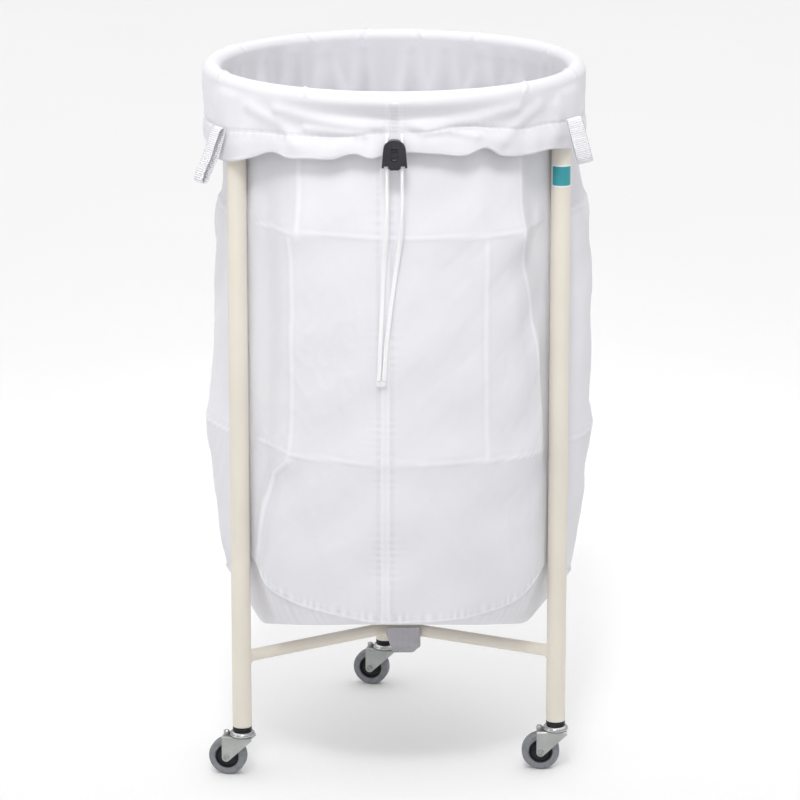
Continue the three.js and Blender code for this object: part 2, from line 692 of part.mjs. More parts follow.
function strapRing(centreLine) {
  const curve = new THREE.CatmullRomCurve3(centreLine.map(([x, y]) => new THREE.Vector3(x, y, 0)), true);
  const steps = 30;
  const edges = { outer: [], inner: [] };
  for (let i = 0; i < steps; i += 1) {
    const place = curve.getPointAt(i / steps);
    const along = curve.getTangentAt(i / steps);
    edges.outer.push([place.x - (along.y * WEBBING) / 2, place.y + (along.x * WEBBING) / 2]);
    edges.inner.push([place.x + (along.y * WEBBING) / 2, place.y - (along.x * WEBBING) / 2]);
  }
  const ring = outlineShape(edges.outer);
  const hole = edges.inner.reverse().map(([x, y]) => new THREE.Vector2(x, y));
  ring.holes.push(new THREE.Path(hole));
  return weld(upright(ring, WEBBING_WIDTH));
}

function makeLoops() {
  const left = strapRing(LEFT_LOOP);
  left.rotateZ(radians(LEFT_LOOP_AT.direction));
  const leftPlace = polar(LEFT_LOOP_AT.direction, LEFT_LOOP_AT.out, LEFT_LOOP_AT.height);
  left.translate(leftPlace.x, leftPlace.y, leftPlace.z);
  addPiece(trolley, 'side_loop_left', left, WEBBING_CLOTH);
  const right = strapRing(RIGHT_LOOP);
  right.rotateZ(-Math.PI / 2);
  right.rotateY(radians(RIGHT_LOOP_AT.lean));
  right.translate(RIGHT_LOOP_AT.x, RIGHT_LOOP_AT.y, RIGHT_LOOP_AT.z);
  addPiece(trolley, 'side_loop_right', right, WEBBING_CLOTH);
}

function makeTab() {
  const { left, right, top, bottom, front, depth } = TAB;
  const outline = outlineShape([
    [left, top], [left + 8, bottom], [right - 7, bottom], [right, bottom + 8], [right, top],
  ]);
  const tab = upright(outline, depth);
  tab.translate(0, front, 0);
  addPiece(trolley, 'base_handle_tab', tab, WEBBING_CLOTH);
}

function makeLabel() {
  const { bottom, height, direction, halfAngle, depth } = LABEL;
  const inner = LEG_DIAMETER / 2 + GAP;
  const [from, to] = [radians(direction - halfAngle), radians(direction + halfAngle)];
  const outline = new THREE.Shape();
  outline.absarc(0, 0, inner + depth, from, to, false);
  outline.absarc(0, 0, inner, to, from, true);
  const label = slab(outline, height);
  const place = polar(LEG_DIRECTIONS.right, LEG_CIRCLE, bottom);
  label.translate(place.x, place.y, place.z);
  addPiece(trolley, 'leg_label', label, LABEL_FILM);
}

makeHoop();
makeLegs();
makeStruts();
makeCastors();
makeBag();
makeHiddenCord();
makeStrands();
makeLock();
makeLoops();
makeTab();
makeLabel();

export default trolley;
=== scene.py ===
# Hospital linen trolley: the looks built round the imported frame.
# Lengths are millimetres here and become metres in make_piece. Directions are degrees
# from +X, and the front of the trolley faces -Y.

import math
import bpy
import numpy as np
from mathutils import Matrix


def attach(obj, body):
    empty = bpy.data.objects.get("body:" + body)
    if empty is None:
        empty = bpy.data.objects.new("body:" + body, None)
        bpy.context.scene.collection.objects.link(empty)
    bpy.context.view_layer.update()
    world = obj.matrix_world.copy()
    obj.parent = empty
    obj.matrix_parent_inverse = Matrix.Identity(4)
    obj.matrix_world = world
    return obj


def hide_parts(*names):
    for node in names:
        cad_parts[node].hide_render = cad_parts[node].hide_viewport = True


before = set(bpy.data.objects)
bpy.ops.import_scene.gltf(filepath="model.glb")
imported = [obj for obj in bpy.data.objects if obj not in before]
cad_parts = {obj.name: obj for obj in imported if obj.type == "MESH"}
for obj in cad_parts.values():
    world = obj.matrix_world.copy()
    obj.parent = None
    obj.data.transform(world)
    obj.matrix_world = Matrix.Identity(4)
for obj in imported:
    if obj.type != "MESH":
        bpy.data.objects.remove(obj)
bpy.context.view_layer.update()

MM = 0.001

# Frame and castors, as in the CAD
LEGS = {"back": 90, "left": 210, "right": 330}
TRAILS = {"back": 163, "left": 165, "right": 176}
LEG_CIRCLE = 240.0
LEG_RADIUS = 12.7
LEG_BOTTOM = 67.0
LEG_TOP = 911.5
STRUT_RADIUS = 8.0
STRUT_HEIGHT = 162.2
TRAIL = 19.5
WHEEL_RADIUS = 25.0
CROWN = 54.0

# Bag
HOOP_RADIUS = 237.0
HOOP_HEIGHT = 923.4
ROLL = 11.9
CLOTH = 0.7
WALL_TOP = 905.0
BASE_LOW = 171.0
SEAM_DIRECTION = 264.0
CUFF_SEAM_DIRECTION = 266.9
# Mean radii, to turn degrees into millimetres on the cloth
WALL_MEAN = 228
CUFF_MEAN = 240

# Drawcord: the same places as the CAD's strands, [across, out, height] about the front
FRONT = 267.0
CORD_SPACING = 19.0
CORD_STANDOFF = 246.0
CORD_OVER_PANEL = 228.2
CORD_WIDTH = 5.7
CORD_THICKNESS = 1.5
LOCK_SQUEEZE = 0.67
STRAIGHT_RUN = [
    [240.8, 882.5], [243.6, 880.5], [CORD_STANDOFF, 875], [CORD_STANDOFF, 850],
    [CORD_STANDOFF, 815], [CORD_STANDOFF, 780],
]
DRAPES = {
    "left": [
        [-10.4, 241.2, 755], [-12, 233.5, 728], [-13.6, 229, 700],
        [-15.2, CORD_OVER_PANEL, 665], [-16.8, CORD_OVER_PANEL, 630],
        [-18.4, CORD_OVER_PANEL, 595], [-19.8, CORD_OVER_PANEL, 562],
    ],
    "right": [
        [8, 241.2, 755], [5, 233.5, 728], [1.2, 229, 700],
        [-3.6, CORD_OVER_PANEL, 665], [-7.8, CORD_OVER_PANEL, 630],
        [-11.2, CORD_OVER_PANEL, 595], [-13.2, CORD_OVER_PANEL, 562],
    ],
}
SEAL_HEIGHT = 558.0
SEAL_ACROSS = -16.5

LABEL_DIRECTION = 270.0
LABEL_RADIUS = 12.9

# Where the loops are sewn on: the left one's direction, radius and height and the way
# it faces, the right one's place and the way it faces and hangs out, in degrees
LEFT_LOOP_AT = (209.5, 264.4, 873)
LEFT_LOOP_FACES = 211
RIGHT_LOOP_AT = (219, -164, 887)
RIGHT_LOOP_FACES = -90
RIGHT_LOOP_TILT = -15


# ---------------------------------------------------------------- small helpers

def smooth(value, low, high):
    t = np.clip((np.asarray(value, float) - low) / (high - low), 0, 1)
    return t * t * (3 - 2 * t)


def mix(a, b, t):
    return a + (b - a) * t


def cosd(angle):
    return np.cos(np.radians(angle))


def sind(angle):
    return np.sin(np.radians(angle))


def away(direction, other):
    """Unsigned angle between two directions."""
    return np.abs((np.asarray(direction, float) - other + 180) % 360 - 180)


def polar(direction, radius, height):
    direction, radius, height = np.broadcast_arrays(direction, radius, height)
    return np.stack([radius * cosd(direction), radius * sind(direction), height], -1)


def front_place(across, out, height):
    return polar(FRONT, out, height) + polar(FRONT + 90, across, 0)


def cubic(a, b, da, db, t):
    """From a to b as t runs from 0 to 1, with the slopes da and db at the ends."""
    return (
        a * (1 + 2 * t) * (1 - t) ** 2 + da * t * (1 - t) ** 2
        + b * t * t * (3 - 2 * t) + db * t * t * (t - 1)
    )


def hermite(x, xs, ys, period=None):
    """Smooth curve through (xs, ys). ys may hold one row for each x."""
    xs, ys = np.asarray(xs, float), np.asarray(ys, float)
    x = np.asarray(x, float)
    if period:
        xs = np.concatenate([xs[-2:] - period, xs, xs[:2] + period])
        ys = np.concatenate([ys[-2:], ys, ys[:2]])
        x = (x - xs[2]) % period + xs[2]
    slopes = np.gradient(ys, xs, axis=0)
    i = np.clip(np.searchsorted(xs, x, side="right") - 1, 0, len(xs) - 2)
    width = (xs[i + 1] - xs[i]).reshape(x.shape + (1,) * (ys.ndim - 1))
    t = np.clip((x - xs[i]).reshape(width.shape) / width, 0, 1)
    return cubic(ys[i], ys[i + 1], slopes[i] * width, slopes[i + 1] * width, t)


def ridge(distance, width, height):
    """A sharp fold whose flanks run out smoothly."""
    return height * np.clip(1 - np.abs(distance) / width, 0, 1) ** 2


def waves(direction, height, seed, count, turns, lengths):
    """Smooth random relief of about unit size that closes on itself round the bag."""
    draw = np.random.default_rng(seed)
    total = 0
    for _ in range(count):
        n = int(draw.integers(*turns)) * (1 if draw.random() < 0.5 else -1)
        k = 2 * math.pi / draw.uniform(*lengths)
        total = total + np.sin(np.radians(direction) * n + height * k + draw.uniform(0, 6.28))
    return total / math.sqrt(count)


# ---------------------------------------------------------------- pieces

def make_piece(name, verts, faces, body, material, replaces=()):
    mesh = bpy.data.meshes.new(name)
    mesh.from_pydata((np.asarray(verts, float) * MM).tolist(), [], faces)
    mesh.validate()
    obj = bpy.data.objects.new(name, mesh)
    bpy.context.scene.collection.objects.link(obj)
    mesh.materials.append(material)
    mesh.polygons.foreach_set("use_smooth", [True] * len(mesh.polygons))
    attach(obj, body)
    if replaces:
        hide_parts(*replaces)
    return obj


def mark_relief(obj, values):
    """Stores how proud (1) or sunk (-1) each vertex is, for the material's painted shade on sunk places
    and painted highlight on proud ones.
    """
    layer = obj.data.attributes.new("relief", "FLOAT", "POINT")
    layer.data.foreach_set("value", np.clip(values, -1, 1).astype(np.float32).ravel())


def shade_by_angle(obj, degrees):
    """Smooth shading that keeps the edges sharper than the angle."""
    mesh = obj.data
    mesh.polygons.foreach_set("use_smooth", [True] * len(mesh.polygons))
    sharp = mesh.attributes.get("sharp_edge") or mesh.attributes.new("sharp_edge", "BOOLEAN", "EDGE")
    normals = [p.normal.copy() for p in mesh.polygons]
    sides = {}
    for p in mesh.polygons:
        for key in p.edge_keys:
            sides.setdefault(key, []).append(p.index)
    limit = math.radians(degrees)
    values = []
    for edge in mesh.edges:
        touching = sides.get(edge.key, [])
        bent = len(touching) != 2 or normals[touching[0]].angle(normals[touching[1]], 0) > limit
        values.append(bent)
    sharp.data.foreach_set("value", values)


def join(parts):
    """One list of vertices and faces from several."""
    verts, faces, start = [], [], 0
    for part_verts, part_faces in parts:
        verts.append(np.asarray(part_verts, float))
        faces += [tuple(v + start for v in face) for face in part_faces]
        start += len(part_verts)
    return np.concatenate(verts), faces


def grid_faces(rows, columns, wrap_rows=False, wrap_columns=False):
    faces = []
    for i in range(rows if wrap_rows else rows - 1):
        for j in range(columns if wrap_columns else columns - 1):
            a = i * columns + j
            b = i * columns + (j + 1) % columns
            c = ((i + 1) % rows) * columns + (j + 1) % columns
            d = ((i + 1) % rows) * columns + j
            faces.append((a, b, c, d))
    return faces


def end_fans(centre, last, segments):
    """Triangles from two end points, centre and centre + 1, to the first and last rings."""
    faces = []
    for j in range(segments):
        k = (j + 1) % segments
        faces += [(centre, k, j), (centre + 1, last + j, last + k)]
    return faces


def slab(front, back):
    """A closed solid between two grids of places with the same rows and columns."""
    rows, columns = front.shape[:2]
    count = rows * columns
    quads = grid_faces(rows, columns)
    faces = quads + [tuple(reversed([v + count for v in face])) for face in quads]
    rim = list(range(columns)) + [i * columns + columns - 1 for i in range(1, rows)]
    rim += [(rows - 1) * columns + j for j in range(columns - 2, -1, -1)]
    rim += [i * columns for i in range(rows - 2, 0, -1)]
    faces += [(b, a, a + count, b + count) for a, b in zip(rim, rim[1:] + rim[:1])]
    return np.concatenate([front.reshape(-1, 3), back.reshape(-1, 3)]), faces


def lathe(profile, segments):
    """A turned solid about Z. The profile runs from the axis up round to the axis, or is
    a closed ring when neither end is on the axis."""
    profile = np.asarray(profile, float)
    on_axis = profile[0][0] == 0 and profile[-1][0] == 0
    turn = np.arange(segments) * 360 / segments
    inner = profile[1:-1] if on_axis else profile
    verts = np.concatenate([polar(turn, r, h) for r, h in inner])
    faces = grid_faces(len(inner), segments, not on_axis, True)
    if on_axis:
        faces += end_fans(len(verts), (len(inner) - 1) * segments, segments)
        verts = np.concatenate([verts, [[0, 0, profile[0][1]], [0, 0, profile[-1][1]]]])
    return verts, faces


def rounded(profile, radius, steps=3):
    """The open profile with its inner corners rounded."""
    profile = [np.array(p, float) for p in profile]
    out = [profile[0]]
    for before, here, after in zip(profile, profile[1:], profile[2:]):
        a, b = before - here, after - here
        cut = min(radius, np.linalg.norm(a) / 2.2, np.linalg.norm(b) / 2.2)
        start, end = here + a / np.linalg.norm(a) * cut, here + b / np.linalg.norm(b) * cut
        for i in range(steps + 1):
            t = i / steps
            out.append(start * (1 - t) ** 2 + here * 2 * t * (1 - t) + end * t * t)
    return out + [profile[-1]]


def turn_z(verts, degrees):
    c, s = cosd(degrees), sind(degrees)
    x, y, z = np.asarray(verts, float).T
    return np.stack([x * c - y * s, x * s + y * c, z], -1)


def smooth_path(points, steps):
    """Evenly spaced points on a smooth curve through the given ones."""
    points = np.asarray(points, float)
    chord = np.concatenate([[0], np.cumsum(np.linalg.norm(np.diff(points, axis=0), axis=1))])
    fine = hermite(np.linspace(0, chord[-1], steps * 8), chord, points)
    run = np.concatenate([[0], np.cumsum(np.linalg.norm(np.diff(fine, axis=0), axis=1))])
    even = np.linspace(0, run[-1], steps)
    return np.stack([np.interp(even, run, fine[:, k]) for k in range(3)], -1), run[-1]


def unit(v):
    return v / np.maximum(np.linalg.norm(v, axis=-1, keepdims=True), 1e-9)


def tangents(path, closed=False):
    if closed:
        return unit(np.roll(path, -1, 0) - np.roll(path, 1, 0))
    return unit(np.gradient(path, axis=0))


def sweep(path, side, out, section, closed=False):
    """A solid whose section, [side, out, along], follows a path. Sections may differ."""
    rows, columns = len(path), section.shape[1]
    along = tangents(path, closed)
    verts = (
        path[:, None] + side[:, None] * section[..., :1] + out[:, None] * section[..., 1:2]
        + along[:, None] * section[..., 2:3]
    ).reshape(-1, 3)
    faces = grid_faces(rows, columns, closed, True)
    if not closed:
        faces.append(tuple(range(columns))[::-1])
        faces.append(tuple(range((rows - 1) * columns, rows * columns)))
    return verts, faces


def stitches(places, normals, alongs, length, width, proud):
    """Short rounded stitches, each a small spindle lying on the cloth."""
    parts_verts, faces = [], []
    for i, (place, normal, along) in enumerate(zip(places, normals, alongs)):
        side = np.cross(normal, along)
        parts_verts += [
            place - along * length / 2, place + side * width / 2, place + normal * proud,
            place - side * width / 2, place + along * length / 2, place - normal * 0.2,
        ]
        s = i * 6
        faces += [
            (s, s + 1, s + 2), (s, s + 2, s + 3), (s + 4, s + 2, s + 1), (s + 4, s + 3, s + 2),
            (s, s + 5, s + 1), (s, s + 3, s + 5), (s + 4, s + 1, s + 5), (s + 4, s + 5, s + 3),
        ]
    return np.array(parts_verts), faces


# ---------------------------------------------------------------- materials

class Nodes:
    """A material with the shader's constants on its own sockets."""

    def __init__(self, name, **constants):
        self.material = bpy.data.materials.new(name)
        self.material.use_nodes = True
        self.tree = self.material.node_tree
        self.shader = self.tree.nodes["Principled BSDF"]
        for socket, value in constants.items():
            self.shader.inputs[socket.replace("_", " ")].default_value = value

    def add(self, kind, inputs=(), **settings):
        node = self.tree.nodes.new(kind)
        for key, value in settings.items():
            setattr(node, key, value)
        for socket, value in dict(inputs).items():
            if isinstance(value, bpy.types.NodeSocket):
                self.tree.links.new(value, node.inputs[socket])
            else:
                node.inputs[socket].default_value = value
        return node

    def link(self, source, socket):
        self.tree.links.new(source, self.shader.inputs[socket])

    def object_place(self):
        return self.add("ShaderNodeTexCoord").outputs["Object"]

    def noise(self, place, scale, detail=3.0, roughness=0.5):
        return self.add(
            "ShaderNodeTexNoise",
            {"Vector": place, "Scale": scale, "Detail": detail, "Roughness": roughness},
        ).outputs["Fac"]

    def ramp(self, factor, low, high, colour_low, colour_high):
        node = self.add("ShaderNodeValToRGB", {"Fac": factor})
        for element, at, colour in zip(node.color_ramp.elements, (low, high), (colour_low, colour_high)):
            element.position = at
            element.color = colour
        return node.outputs["Color"]

    def spread(self, factor, low, high):
        node = self.add("ShaderNodeMapRange", {"Value": factor, "To Min": low, "To Max": high})
        return node.outputs["Result"]

    def paint_relief_shading(self, colour, sunk, proud):
        """The colour with painted shade where the piece's relief is sunk and a painted highlight where
        it is proud.
        """
        relief = self.add("ShaderNodeAttribute", attribute_name="relief").outputs["Fac"]
        inputs = {"Value": relief, "From Min": -1.0, "From Max": 1.0, "To Min": sunk, "To Max": proud}
        scale = self.add("ShaderNodeMapRange", inputs).outputs["Result"]
        node = self.add("ShaderNodeVectorMath", {"Vector": colour, "Scale": scale}, operation="SCALE")
        return node.outputs["Vector"]

    def bump(self, height, strength, distance, normal=None):
        inputs = {"Height": height, "Strength": strength, "Distance": distance}
        if normal is not None:
            inputs["Normal"] = normal
        return self.add("ShaderNodeBump", inputs).outputs["Normal"]


def grey(value):
    return (value, value, value, 1)


def paint_material():
    n = Nodes("cream_powder_coat", Coat_Weight=0.25, Coat_Roughness=0.18)
    place = n.object_place()
    tint = n.noise(place, 9.0, 4.0)
    n.link(n.ramp(tint, 0.3, 0.75, (0.705, 0.655, 0.572, 1), (0.755, 0.706, 0.621, 1)), "Base Color")
    n.link(n.spread(n.noise(place, 60.0), 0.30, 0.46), "Roughness")
    peel = n.noise(place, 520.0, 2.0)
    n.link(n.bump(peel, 0.12, 0.0006), "Normal")
    return n.material


def metal_material(name, colour, roughness, streak, fine=900.0):
    n = Nodes(name, Metallic=1.0)
    place = n.object_place()
    cloud = n.noise(place, 45.0, 4.0)
    dark = tuple(c * 0.82 for c in colour) + (1,)
    n.link(n.ramp(cloud, 0.3, 0.7, dark, tuple(colour) + (1,)), "Base Color")
    n.link(n.spread(n.noise(place, 130.0, 4.0), roughness, roughness + streak), "Roughness")
    n.link(n.bump(n.noise(place, fine, 2.0), 0.08, 0.0003), "Normal")
    return n.material


def plastic_material(name, dark, light, roughness, grain, coat=0.0):
    n = Nodes(name, Coat_Weight=coat, Coat_Roughness=0.2, Specular_IOR_Level=0.3)
    place = n.object_place()
    n.link(n.ramp(n.noise(place, 30.0), 0.3, 0.7, dark, light), "Base Color")
    n.link(n.spread(n.noise(place, 220.0), roughness, roughness + 0.14), "Roughness")
    n.link(n.bump(n.noise(place, 1400.0, 1.0), grain, 0.0003), "Normal")
    return n.material


def tyre_material():
    n = Nodes("grey_tyre", Specular_IOR_Level=0.35)
    place = n.object_place()
    scuff = n.noise(place, 170.0, 6.0, 0.65)
    n.link(n.ramp(scuff, 0.3, 0.72, (0.185, 0.193, 0.208, 1), (0.262, 0.272, 0.290, 1)), "Base Color")
    n.link(n.spread(n.noise(place, 80.0), 0.52, 0.72), "Roughness")
    n.link(n.bump(n.noise(place, 900.0, 3.0), 0.2, 0.0004), "Normal")
    return n.material


def weave_height(n, pitch):
    """Two crossed sets of threads from the cloth's own coordinates, in metres."""
    uv = n.add("ShaderNodeUVMap", uv_map="cloth").outputs["UV"]
    threads = []
    for direction in ("X", "Y"):
        threads.append(n.add(
            "ShaderNodeTexWave", {"Vector": uv, "Scale": 1 / pitch / 3.2, "Distortion": 0.6,
                                  "Detail": 1.0, "Detail Scale": 2.0},
            wave_type="BANDS", bands_direction=direction, wave_profile="SIN",
        ).outputs["Fac"])
    return n.add(
        "ShaderNodeMath", {0: threads[0], 1: threads[1]}, operation="MAXIMUM"
    ).outputs["Value"], uv


def cloth_material():
    n = Nodes("bag_cloth", Roughness=0.82, Specular_IOR_Level=0.22, Sheen_Weight=0.18,
              Sheen_Roughness=0.45)
    weave, uv = weave_height(n, 0.0009)
    place = n.object_place()
    cloud = n.noise(place, 7.0, 4.0)
    tint = n.ramp(cloud, 0.3, 0.72, (0.715, 0.712, 0.748, 1), (0.765, 0.763, 0.796, 1))
    # Painted shade in the cloth's creases and painted highlight on its folds, from the bag's stored
    # relief.
    n.link(n.paint_relief_shading(tint, 0.91, 1.08), "Base Color")
    crumple = n.noise(uv, 42.0, 5.0, 0.62)
    soft = n.bump(crumple, 0.28, 0.0022)
    n.link(n.bump(weave, 0.22, 0.00018, soft), "Normal")
    return n.material


def thread_material():
    n = Nodes("white_thread", Roughness=0.6, Sheen_Weight=0.25)
    place = n.object_place()
    tint = n.ramp(n.noise(place, 320.0), 0.3, 0.7, (0.80, 0.80, 0.83, 1), (0.90, 0.90, 0.92, 1))
    n.link(tint, "Base Color")
    n.link(n.bump(n.noise(place, 2600.0), 0.3, 0.0002), "Normal")
    return n.material


def braid_material():
    n = Nodes("cord_braid", Roughness=0.7, Sheen_Weight=0.2)
    place = n.object_place()
    yarn_shading = n.add("ShaderNodeTexWave", {"Vector": place, "Scale": 260.0, "Distortion": 1.4},
                 bands_direction="DIAGONAL").outputs["Fac"]
    # Yarn bands lighter on their crests and darker between them: painted highlight and painted shade.
    tint = n.ramp(yarn_shading, 0.1, 0.8, (0.84, 0.84, 0.86, 1), (0.93, 0.93, 0.94, 1))
    # Painted shade in the braid's sunk chevrons and groove, painted highlight on its proud yarn.
    n.link(n.paint_relief_shading(tint, 0.45, 1.25), "Base Color")
    n.link(n.bump(yarn_shading, 0.25, 0.0003), "Normal")
    return n.material


def webbing_material(name, dark, light):
    n = Nodes(name, Roughness=0.8, Sheen_Weight=0.15)
    place = n.object_place()
    inputs = {"Vector": place, "Scale": 620.0, "Randomness": 0.25}
    dots = n.add("ShaderNodeTexVoronoi", inputs).outputs["Distance"]
    # Painted shade where the strap's relief is sunk and painted highlight where it is proud, over the
    # dotted weave.
    n.link(n.paint_relief_shading(n.ramp(dots, 0.12, 0.55, light, dark), 0.72, 1.06), "Base Color")
    n.link(n.bump(dots, 0.35, 0.0005), "Normal")
    return n.material


def label_material(name, colour, roughness):
    n = Nodes(name, Coat_Weight=0.4, Coat_Roughness=0.12)
    place = n.object_place()
    low = tuple(c * 0.9 for c in colour) + (1,)
    n.link(n.ramp(n.noise(place, 90.0), 0.3, 0.7, low, tuple(colour) + (1,)), "Base Color")
    n.link(n.spread(n.noise(place, 300.0), roughness, roughness + 0.1), "Roughness")
    return n.material


PAINT = paint_material()
CHROME = metal_material("castor_chrome", (0.62, 0.62, 0.62), 0.07, 0.08)
ZINC = metal_material("castor_zinc", (0.47, 0.482, 0.472), 0.27, 0.16)
BLACK = plastic_material("castor_black", (0.010, 0.010, 0.012, 1), (0.020, 0.020, 0.023, 1), 0.34, 0.1)
LOCK = plastic_material(
    "lock_black", (0.012, 0.012, 0.016, 1), (0.022, 0.021, 0.028, 1), 0.26, 0.06, 0.3,
)
TYRE = tyre_material()
CLOTH_WHITE = cloth_material()
THREAD = thread_material()
BRAID = braid_material()
WEBBING = webbing_material("loop_webbing", (0.74, 0.74, 0.77, 1), (0.92, 0.92, 0.94, 1))
# The tab's webbing in grey: painted shade for where it hangs under the base.
SHADED_TAB_WEBBING = webbing_material("tab_webbing_painted_shade", (0.40, 0.39, 0.42, 1), (0.66, 0.65, 0.67, 1))
LABEL_TEAL = label_material("label_teal", (0.012, 0.290, 0.330), 0.25)
LABEL_WHITE = label_material("label_white", (0.84, 0.86, 0.86), 0.3)


# ---------------------------------------------------------------- camera and light

def make_camera():
    camera = bpy.data.objects.new("camera", bpy.data.cameras.new("camera"))
    camera.data.lens = 180.5
    camera.data.sensor_width = 36
    camera.data.clip_end = 100
    camera.location = (-0.280, -5.147, 1.826)
    camera.rotation_euler = (math.radians(75.34), 0, math.radians(-3.20))
    bpy.context.scene.collection.objects.link(camera)
    bpy.context.scene.camera = camera


def area_light(name, place, aim, size, power, spread=180):
    light = bpy.data.lights.new(name, "AREA")
    light.shape = "RECTANGLE"
    light.size, light.size_y = size
    light.energy = power
    light.spread = math.radians(spread)
    obj = bpy.data.objects.new(name, light)
    obj.location = place
    way = np.array(aim, float) - np.array(place, float) + 1e-9
    flat = math.hypot(way[0], way[1])
    obj.rotation_euler = (math.atan2(flat, -way[2]), 0, math.atan2(way[1], way[0]) - math.pi / 2)
    bpy.context.scene.collection.objects.link(obj)


def make_studio():
    scene = bpy.context.scene
    world = bpy.data.worlds.new("studio")
    scene.world = world
    world.use_nodes = True
    tree = world.node_tree
    place = tree.nodes.new("ShaderNodeTexCoord").outputs["Generated"]
    split = tree.nodes.new("ShaderNodeSeparateXYZ")
    tree.links.new(place, split.inputs["Vector"])
    sky = tree.nodes.new("ShaderNodeValToRGB")
    tree.links.new(split.outputs["Z"], sky.inputs["Fac"])
    sky.color_ramp.elements[0].color = grey(0.46)
    sky.color_ramp.elements[1].color = grey(0.92)
    tree.links.new(sky.outputs["Color"], tree.nodes["Background"].inputs["Color"])
    scene.view_settings.view_transform = "Standard"
    area_light("overhead", (0, 2.0, 7.0), (0, 2.0, 0), (16, 16), 285)
    area_light("front_box", (-0.9, -4.6, 3.0), (0, 0, 0.5), (2.6, 1.8), 13)
    area_light("side_box", (-3.4, -1.5, 1.3), (0, 0, 0.5), (0.9, 1.6), 6)
    area_light("mouth_box", (-0.25, -1.9, 3.1), (0, 0.15, 0.75), (0.7, 0.7), 2.2, 36)
    n = Nodes("pale_floor", Roughness=0.75, Specular_IOR_Level=0.15)
    place = n.object_place()
    n.link(n.ramp(n.noise(place, 2.0), 0.3, 0.7, grey(0.95), grey(0.96)), "Base Color")
    mesh = bpy.data.meshes.new("floor")
    far = 40
    corners = [(-far, -far, 0), (far, -far, 0), (far, far, 0), (-far, far, 0)]
    mesh.from_pydata(corners, [], [(0, 1, 2, 3)])
    mesh.materials.append(n.material)
    floor = bpy.data.objects.new("floor", mesh)
    scene.collection.objects.link(floor)


# ---------------------------------------------------------------- drawcord

def braided_strand(side, drape):
    """A flat herringbone braid along the strand's route, its face to the front."""
    across = math.copysign(CORD_SPACING / 2, drape[0][0])
    route = [front_place(across, *p) for p in STRAIGHT_RUN] + [front_place(*p) for p in drape]
    path, length = smooth_path(route, 560)
    steps = np.linspace(0, length, len(path))
    along = tangents(path)
    sway = 9 * np.sin(steps / 34.0 + (0.4 if side == "left" else 2.1)) * smooth(steps, 20, 120)
    across_way = cosd(sway)[:, None] * polar(FRONT + 90, 1, 0) + sind(sway)[:, None] * polar(FRONT, 1, 0)
    out = unit(np.cross(across_way, along))
    out *= np.sign((out @ polar(FRONT, 1, 0)))[:, None]
    across_way = unit(np.cross(along, out))
    spots = np.linspace(-1, 1, 13)
    half, thick = CORD_WIDTH / 2, CORD_THICKNESS / 2
    crown = np.sqrt(np.clip(1 - spots ** 4, 0, 1))
    chevron = np.abs(np.sin((steps[:, None] + 1.5 * half * np.abs(spots)) * math.pi / 3.2))
    groove = 0.55 * np.exp(-(spots * 5) ** 2)
    face = thick * crown * (0.55 + 0.45 * chevron - groove * 0.5)
    squeeze = mix(1, LOCK_SQUEEZE, smooth(path[:, 2], 762, 776))[:, None]
    edge = half * squeeze * (1 - 0.05 * (np.sin(steps * 2 * math.pi / 2.7) < 0))[:, None]
    upper = np.stack([spots * edge, face, np.zeros_like(face)], -1)
    lower = np.stack([spots[1:-1] * edge, -face[:, 1:-1], np.zeros_like(face[:, 1:-1])], -1)[:, ::-1]
    verts, faces = sweep(path, across_way, out, np.concatenate([upper, lower], 1))
    strand = make_piece(
        f"cord_{side}", verts, faces, "trolley", BRAID, [f"drawcord_{side}_strand"],
    )
    # Relief of the chevrons and the middle groove, for the braid's painted shade and highlight.
    yarn_shading = (chevron - 0.5) * 2.6 - 0.6 * groove
    mark_relief(strand, np.concatenate([yarn_shading, yarn_shading[:, 1:-1][:, ::-1]], 1))
    return strand, path * MM, length * MM


def make_seal():
    """The two cut ends, squared, laid side by side and sewn across."""
    columns, rows = 27, 11
    u, v = np.meshgrid(np.linspace(-1, 1, columns), np.linspace(-1, 1, rows))
    pair = np.abs(np.sin((u + 1) * math.pi))
    sewn = 0.35 * np.exp(-((np.abs(v) - 0.45) * 6) ** 2)
    thick = 0.35 + 0.75 * pair ** 0.5 - sewn
    thick *= np.sqrt(np.clip(1 - u ** 8, 0.05, 1))
    middle = front_place(SEAL_ACROSS, CORD_OVER_PANEL, SEAL_HEIGHT)
    side, out = polar(FRONT + 90, 1, 0), polar(FRONT, 1, 0)
    flat = middle + u[..., None] * 6.2 * side + v[..., None] * 3.4 * np.array([0, 0, 1])
    verts, faces = slab(flat + thick[..., None] * out, flat - thick[..., None] * out)
    return make_piece("cord_end", verts, faces, "trolley", BRAID, ["drawcord_end_seal"])


def make_cords():
    seal = make_seal()
    for side, drape in DRAPES.items():
        strand, path, length = braided_strand(side, drape)


# ---------------------------------------------------------------- tube frame

def bead(path, ways, size, seed, closed=True):
    """A weld bead: a lumpy rounded strip along a path."""
    draw = np.random.default_rng(seed)
    count = len(path)
    run = np.arange(count)
    lumps = 1 + 0.14 * np.sin(run * 2 * math.pi / 5) + draw.uniform(-0.06, 0.06, count)
    turn = np.arange(8) * 45
    out = unit(np.asarray(ways, float))
    along = tangents(path, closed)
    side = unit(np.cross(along, out))
    section = np.stack([
        size * lumps[:, None] * cosd(turn), size * lumps[:, None] * sind(turn),
        np.zeros((count, 8)),
    ], -1)
    return sweep(path, side, out, section, closed)


